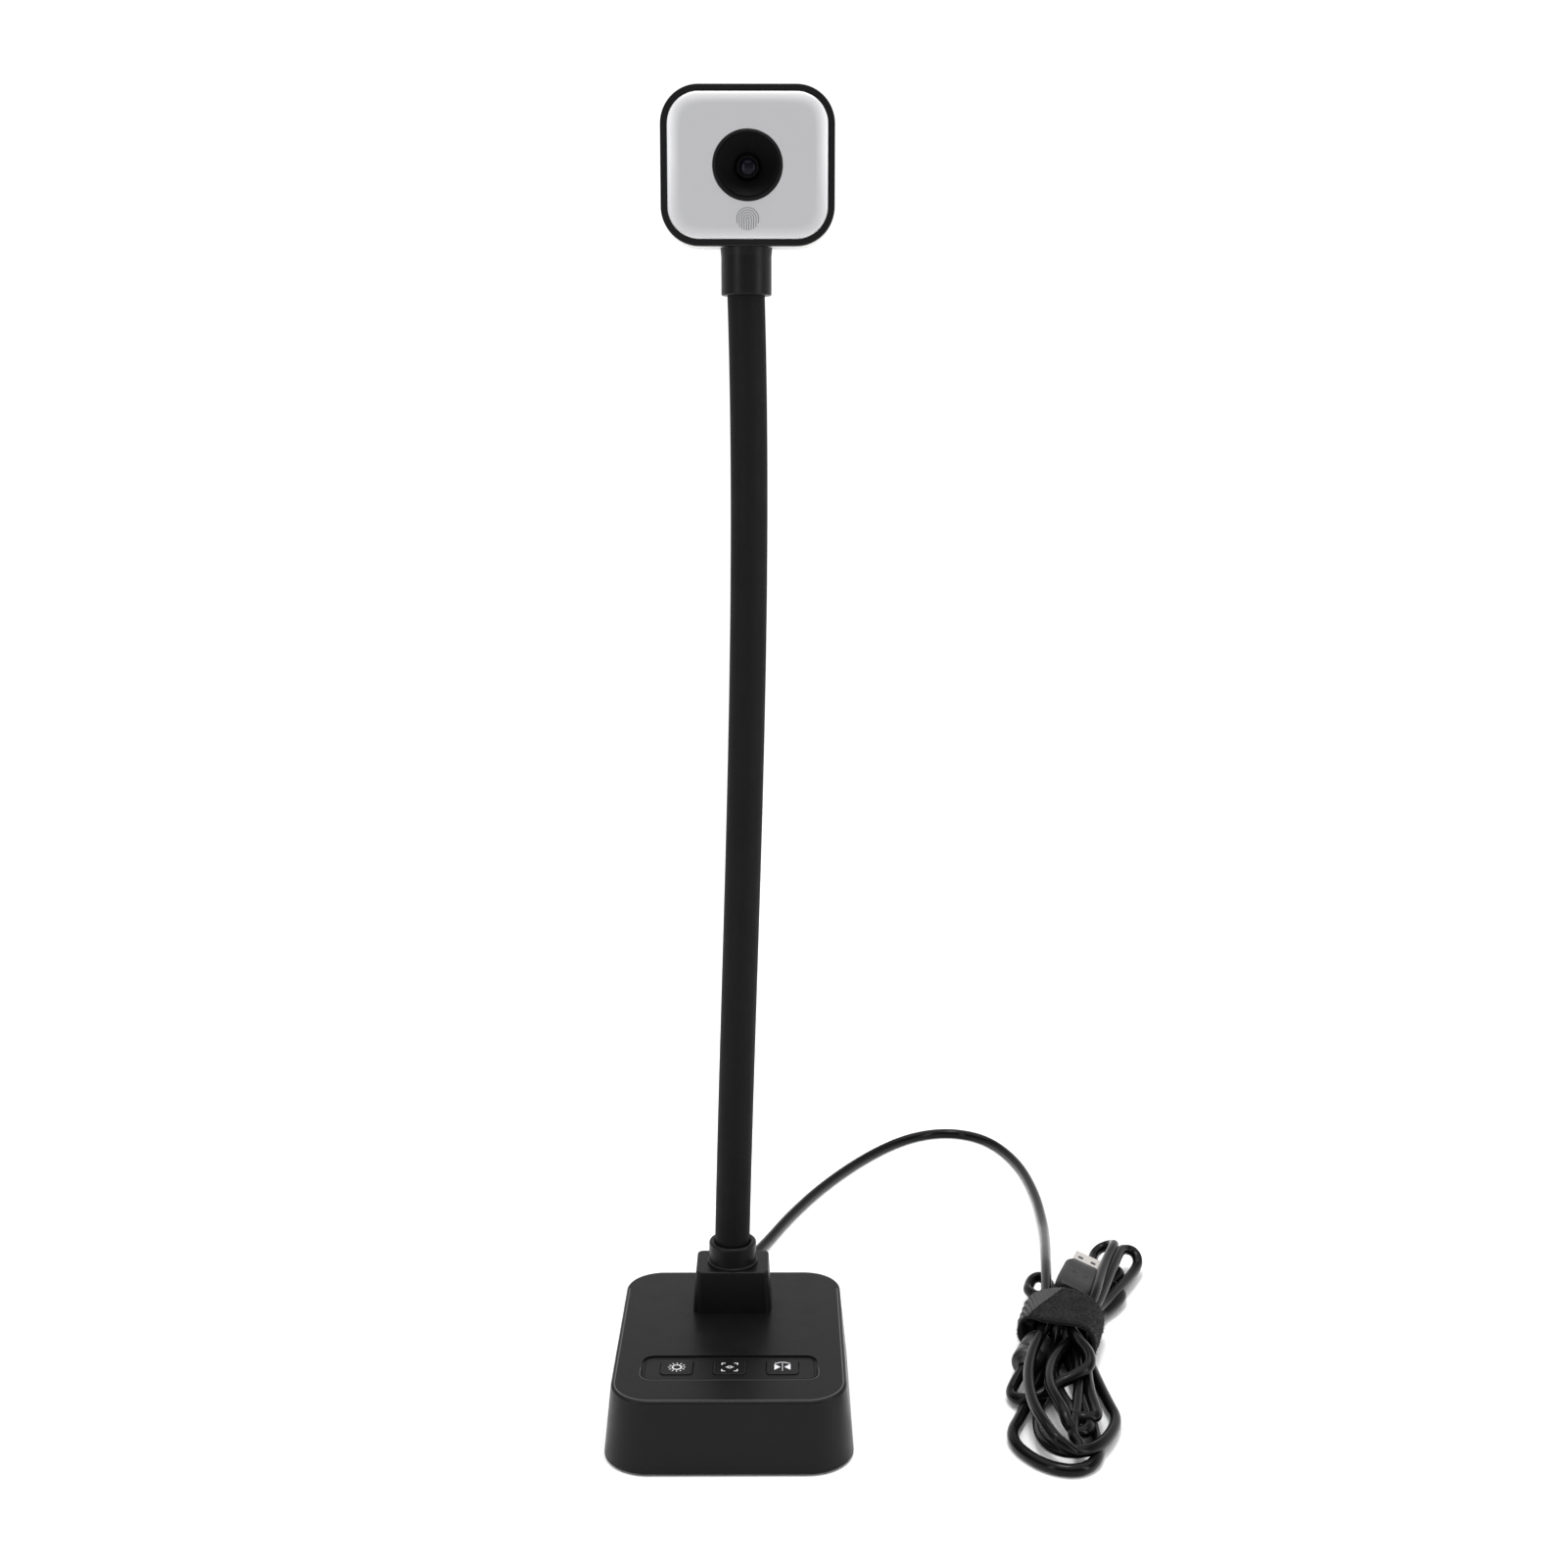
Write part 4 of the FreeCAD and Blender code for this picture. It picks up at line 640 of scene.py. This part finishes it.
# ---------------------------------------------------------------- printed marks


def arc_marks(x, y, radius, width, start, end, steps=28):
    """Pieces of a ring, angles in degrees."""
    shapes = []
    for i in range(steps):
        a, b = (radians(start + (end - start) * (i + k) / steps) for k in (0, 1))
        inner, outer = radius - width / 2, radius + width / 2
        shapes.append([(x + r * cos(t), y + r * sin(t))
                       for r, t in ((inner, a), (outer, a), (outer, b), (inner, b))])
    return shapes


def bar(x0, y0, x1, y1, width):
    """A straight stroke."""
    along = Vector((x1 - x0, y1 - y0)).normalized() * width / 2
    nx, ny = -along.y, along.x
    return [(x0 + nx, y0 + ny), (x0 - nx, y0 - ny), (x1 - nx, y1 - ny), (x1 + nx, y1 + ny)]


def print_marks(name, shapes, to_world, depth, body, ink):
    """Flat printed shapes as one thin piece; to_world(x, y, height) gives the place."""
    points, faces = [], []
    for shape in shapes:
        start, n = len(points), len(shape)
        points += [to_world(x, y, depth) for x, y in shape] + [to_world(x, y, 0) for x, y in shape]
        faces += [tuple(range(start, start + n)), tuple(range(start + 2 * n - 1, start + n - 1, -1))]
        faces += [(start + i, start + n + i, start + n + (i + 1) % n, start + (i + 1) % n)
                  for i in range(n)]
    made = mesh_piece(name, points, faces, smooth=False)
    normals = bmesh.new()
    normals.from_mesh(made.data)
    bmesh.ops.recalc_face_normals(normals, faces=normals.faces)
    normals.to_mesh(made.data)
    normals.free()
    made.data.materials.append(ink)
    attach(made, body)


INK = moulded("key_ink", (0.55, 0.55, 0.57), (0.66, 0.66, 0.68), 0.5, 1500.0, 0.00001)
TOUCH_INK = moulded("touch_ink", (0.10, 0.10, 0.105), (0.13, 0.13, 0.135), 0.5, 1500.0, 0.00001)
KEY_TOP, KEY_Y, KEY_STEP = 27.2, -26.8, 19.7
STROKE = 0.42
INK_THICK = 0.03


def on_key(column):
    return lambda x, y, up: Vector((column * KEY_STEP + x, KEY_Y + y, KEY_TOP + up)) * MM


sun = arc_marks(0, 0, 1.65, 0.55, 0, 360)
for i in range(12):
    angle = tau * i / 12
    sun.append(bar(2.35 * cos(angle), 2.35 * sin(angle), 3.3 * cos(angle), 3.3 * sin(angle), 0.34))
print_marks("brightness_mark", sun, on_key(-1), INK_THICK, "brightness_button", INK)

HALF = 2.9
reticle = arc_marks(0, 0, 0.75, 0.4, 0, 360)
for sx in (-1, 1):
    for sy in (-1, 1):
        reticle.append(bar(sx * (HALF + STROKE / 2), sy * HALF, sx * (HALF - 1.3), sy * HALF, STROKE))
        reticle.append(bar(sx * HALF, sy * (HALF - 0.2), sx * HALF, sy * (HALF - 1.3), STROKE))
reticle += [bar(-1.5, 0, -0.9, 0, STROKE), bar(0.9, 0, 1.5, 0, STROKE)]
print_marks("focus_mark", reticle, on_key(0), INK_THICK, "focus_button", INK)

mirror = [[(-3.0, -2.1), (-0.7, 0), (-3.0, 2.1)], [(3.0, -2.1), (3.0, 2.1), (0.7, 0)]]
mirror += [bar(0, y, 0, y + 0.6, 0.3) for y in (-2.7, -1.7, -0.7, 0.3, 1.3, 2.3)]
mirror += arc_marks(0, 0.2, 3.3, 0.4, 42, 138)
mirror += [[(-2.9, 2.3), (-1.7, 2.55), (-2.55, 3.3)], [(2.9, 2.3), (2.55, 3.3), (1.7, 2.55)]]
print_marks("mirror_mark", mirror, on_key(1), INK_THICK, "mirror_button", INK)

DIFFUSER_FRONT = 13.6
TOUCH_Z = 448.9


def on_diffuser(x, y, out):
    return Vector((HEAD_X + x, DIFFUSER_FRONT - out, TOUCH_Z + y)) * MM


RIDGES, RIDGE_PITCH, RIDGE_WIDTH, RIDGE_MIDDLE = 5, 0.86, 0.3, 0.3
TOUCH_RADIUS = 4.2
touch = []
for number in range(RIDGES):
    radius = 0.5 + RIDGE_PITCH * number
    touch += arc_marks(0, RIDGE_MIDDLE, radius, RIDGE_WIDTH, 0, 180)
    foot_level = -0.92 * (TOUCH_RADIUS ** 2 - radius ** 2) ** 0.5
    for side in (-1, 1):
        touch.append(bar(side * radius, RIDGE_MIDDLE, side * (radius - 0.12), foot_level, RIDGE_WIDTH))
print_marks("touch_mark", touch, on_diffuser, INK_THICK, "head", TOUCH_INK)


PANEL_Y, COVER_TOP = -27.3, 27.4
RECESS = (65.3, 17.8, 4.2)
RECESS_SIDE_RUN = 4.7
COVER_EDGE = (86.6, 104.6, 14.5)
COVER_SIDE_RUN = 75.0
# Painted highlight: a light grey line just inside the button recess's front edge, where its bevel would
# catch the light.
PAINTED_RECESS_HIGHLIGHT = moulded("painted_recess_highlight", grey(0.03), grey(0.04), 0.35, 1500.0, 0.00002)
# Painted highlight: a light grey line along the cover's rounded top edge, front and sides, where the fillet
# would catch the overhead light.
PAINTED_COVER_HIGHLIGHT = moulded("painted_cover_highlight", grey(0.035), grey(0.06), 0.4, 1500.0, 0.00002)


def front_line(size, inset, stroke, side_run):
    """A line inside a (width, depth, corner) outline, along its front and some of its sides."""
    w, d, r = size[0] / 2 - inset, size[1] / 2 - inset, size[2] - inset
    path = [(-w, r - d + side_run)]
    for start, cx in ((180, r - w), (270, w - r)):
        turns = [radians(start + 9 * i) for i in range(11)]
        path += [(cx + r * cos(t), r - d + r * sin(t)) for t in turns]
    path.append((w, r - d + side_run))
    return [bar(*a, *b, stroke) for a, b in zip(path, path[1:])]


def on_cover(middle_y):
    return lambda x, y, up: Vector((x, middle_y + y, COVER_TOP + up)) * MM


# Painted shadow: a dark strip along the button recess's front edge and the start of its sides.
print_marks("recess_painted_shadow", front_line(RECESS, -0.05, 0.55, RECESS_SIDE_RUN), on_cover(PANEL_Y), 0.02,
            "base", SLOTS["lens_black"])
# Painted highlight just inside the recess's front edge, where its bevel would catch the light.
print_marks("recess_edge_painted_highlight", front_line(RECESS, -0.5, 0.35, RECESS_SIDE_RUN), on_cover(PANEL_Y), 0.03,
            "base", PAINTED_RECESS_HIGHLIGHT)
# Painted highlight along the cover's rounded top edge, front and sides.
print_marks("cover_edge_painted_highlight", front_line(COVER_EDGE, 1.2, 0.5, COVER_SIDE_RUN), on_cover(0.0), 0.02,
            "base", PAINTED_COVER_HIGHLIGHT)


# ---------------------------------------------------------------- lens

glass_material, glass_tree, glass_shader, glass_place = material(
    "lens_glass", Specular_IOR_Level=0.1)
tint = noise(glass_tree, glass_place, 160.0, 2.0)
glass_tree.links.new(blend_colours(glass_tree, tint, (0.002, 0.002, 0.005), (0.006, 0.004, 0.010)),
                     glass_shader.inputs["Base Color"])
glass_tree.links.new(spread(glass_tree, tint, 0.12, 0.18), glass_shader.inputs["Roughness"])
GLASS_RADIUS, GLASS_BULGE, GLASS_Y = 2.9, 1.05, 18.5
dome = [(GLASS_BULGE * (1 - (r / GLASS_RADIUS) ** 2), r)
        for r in (GLASS_RADIUS, 2.6, 2.2, 1.7, 1.1, 0.5, 0.01)]
lens_glass = turned("lens_glass_dome", dome, (HEAD_X, GLASS_Y, HEAD_Z), (0, -1, 0), around=48)
lens_glass.data.materials.append(glass_material)
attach(lens_glass, "lens")


# ---------------------------------------------------------------- room


def area_light(name, place, aim, width, height, power):
    """A soft panel of light turned to face a point."""
    data = bpy.data.lights.new(name, "AREA")
    data.shape = "RECTANGLE"
    data.size, data.size_y, data.energy = width, height, power
    lamp = bpy.data.objects.new(name, data)
    lamp.location = place
    lamp.rotation_euler = (Vector(aim) - Vector(place)).to_track_quat("-Z", "Y").to_euler()
    bpy.context.scene.collection.objects.link(lamp)


area_light("top_panel", (0.05, 0.0, 1.3), (0.05, 0.0, 0.0), 0.3, 0.3, 6.5)
NECK_MIDDLE = (0.0, 0.02, 0.25)
area_light("left_panel", (-0.72, -0.78, 0.5), NECK_MIDDLE, 0.2, 1.0, 2.6)
area_light("right_panel", (1.0, -0.5, 0.5), NECK_MIDDLE, 0.25, 1.0, 4.0)
sun_data = bpy.data.lights.new("overhead", "SUN")
sun_data.energy = 2.65
sun_data.angle = radians(90)
bpy.context.scene.collection.objects.link(bpy.data.objects.new("overhead", sun_data))

world = bpy.data.worlds.new("studio")
world.use_nodes = True
bpy.context.scene.world = world
sky = world.node_tree
direction = sky.nodes.new("ShaderNodeTexCoord").outputs["Generated"]
parts_of_it = add(sky, "ShaderNodeSeparateXYZ", Vector=direction)
backdrop = next(n for n in sky.nodes if n.type == "BACKGROUND")
behind = spread(sky, parts_of_it.outputs["Y"], 0.45, 1.06, -0.2, 0.35)
low_down = spread(sky, parts_of_it.outputs["Z"], 1.0, 0.3, 0.3, 0.55)
sky.links.new(maths(sky, "MULTIPLY", behind, low_down), backdrop.inputs["Strength"])
backdrop.inputs["Color"].default_value = (1.0, 1.0, 1.0, 1)

FLOOR_HALF = 6
corners = [(x * FLOOR_HALF, y * FLOOR_HALF, 0) for x, y in ((-1, -1), (1, -1), (1, 1), (-1, 1))]
floor = mesh_piece("floor", corners, [(0, 1, 2, 3)], smooth=False)
floor.data.materials.append(moulded("floor_paper", (0.90, 0.90, 0.90), (0.92, 0.92, 0.92), 0.85,
                                    300.0, 0.00002, 8.0, Specular_IOR_Level=0.1))

bpy.context.scene.view_settings.view_transform = "Standard"
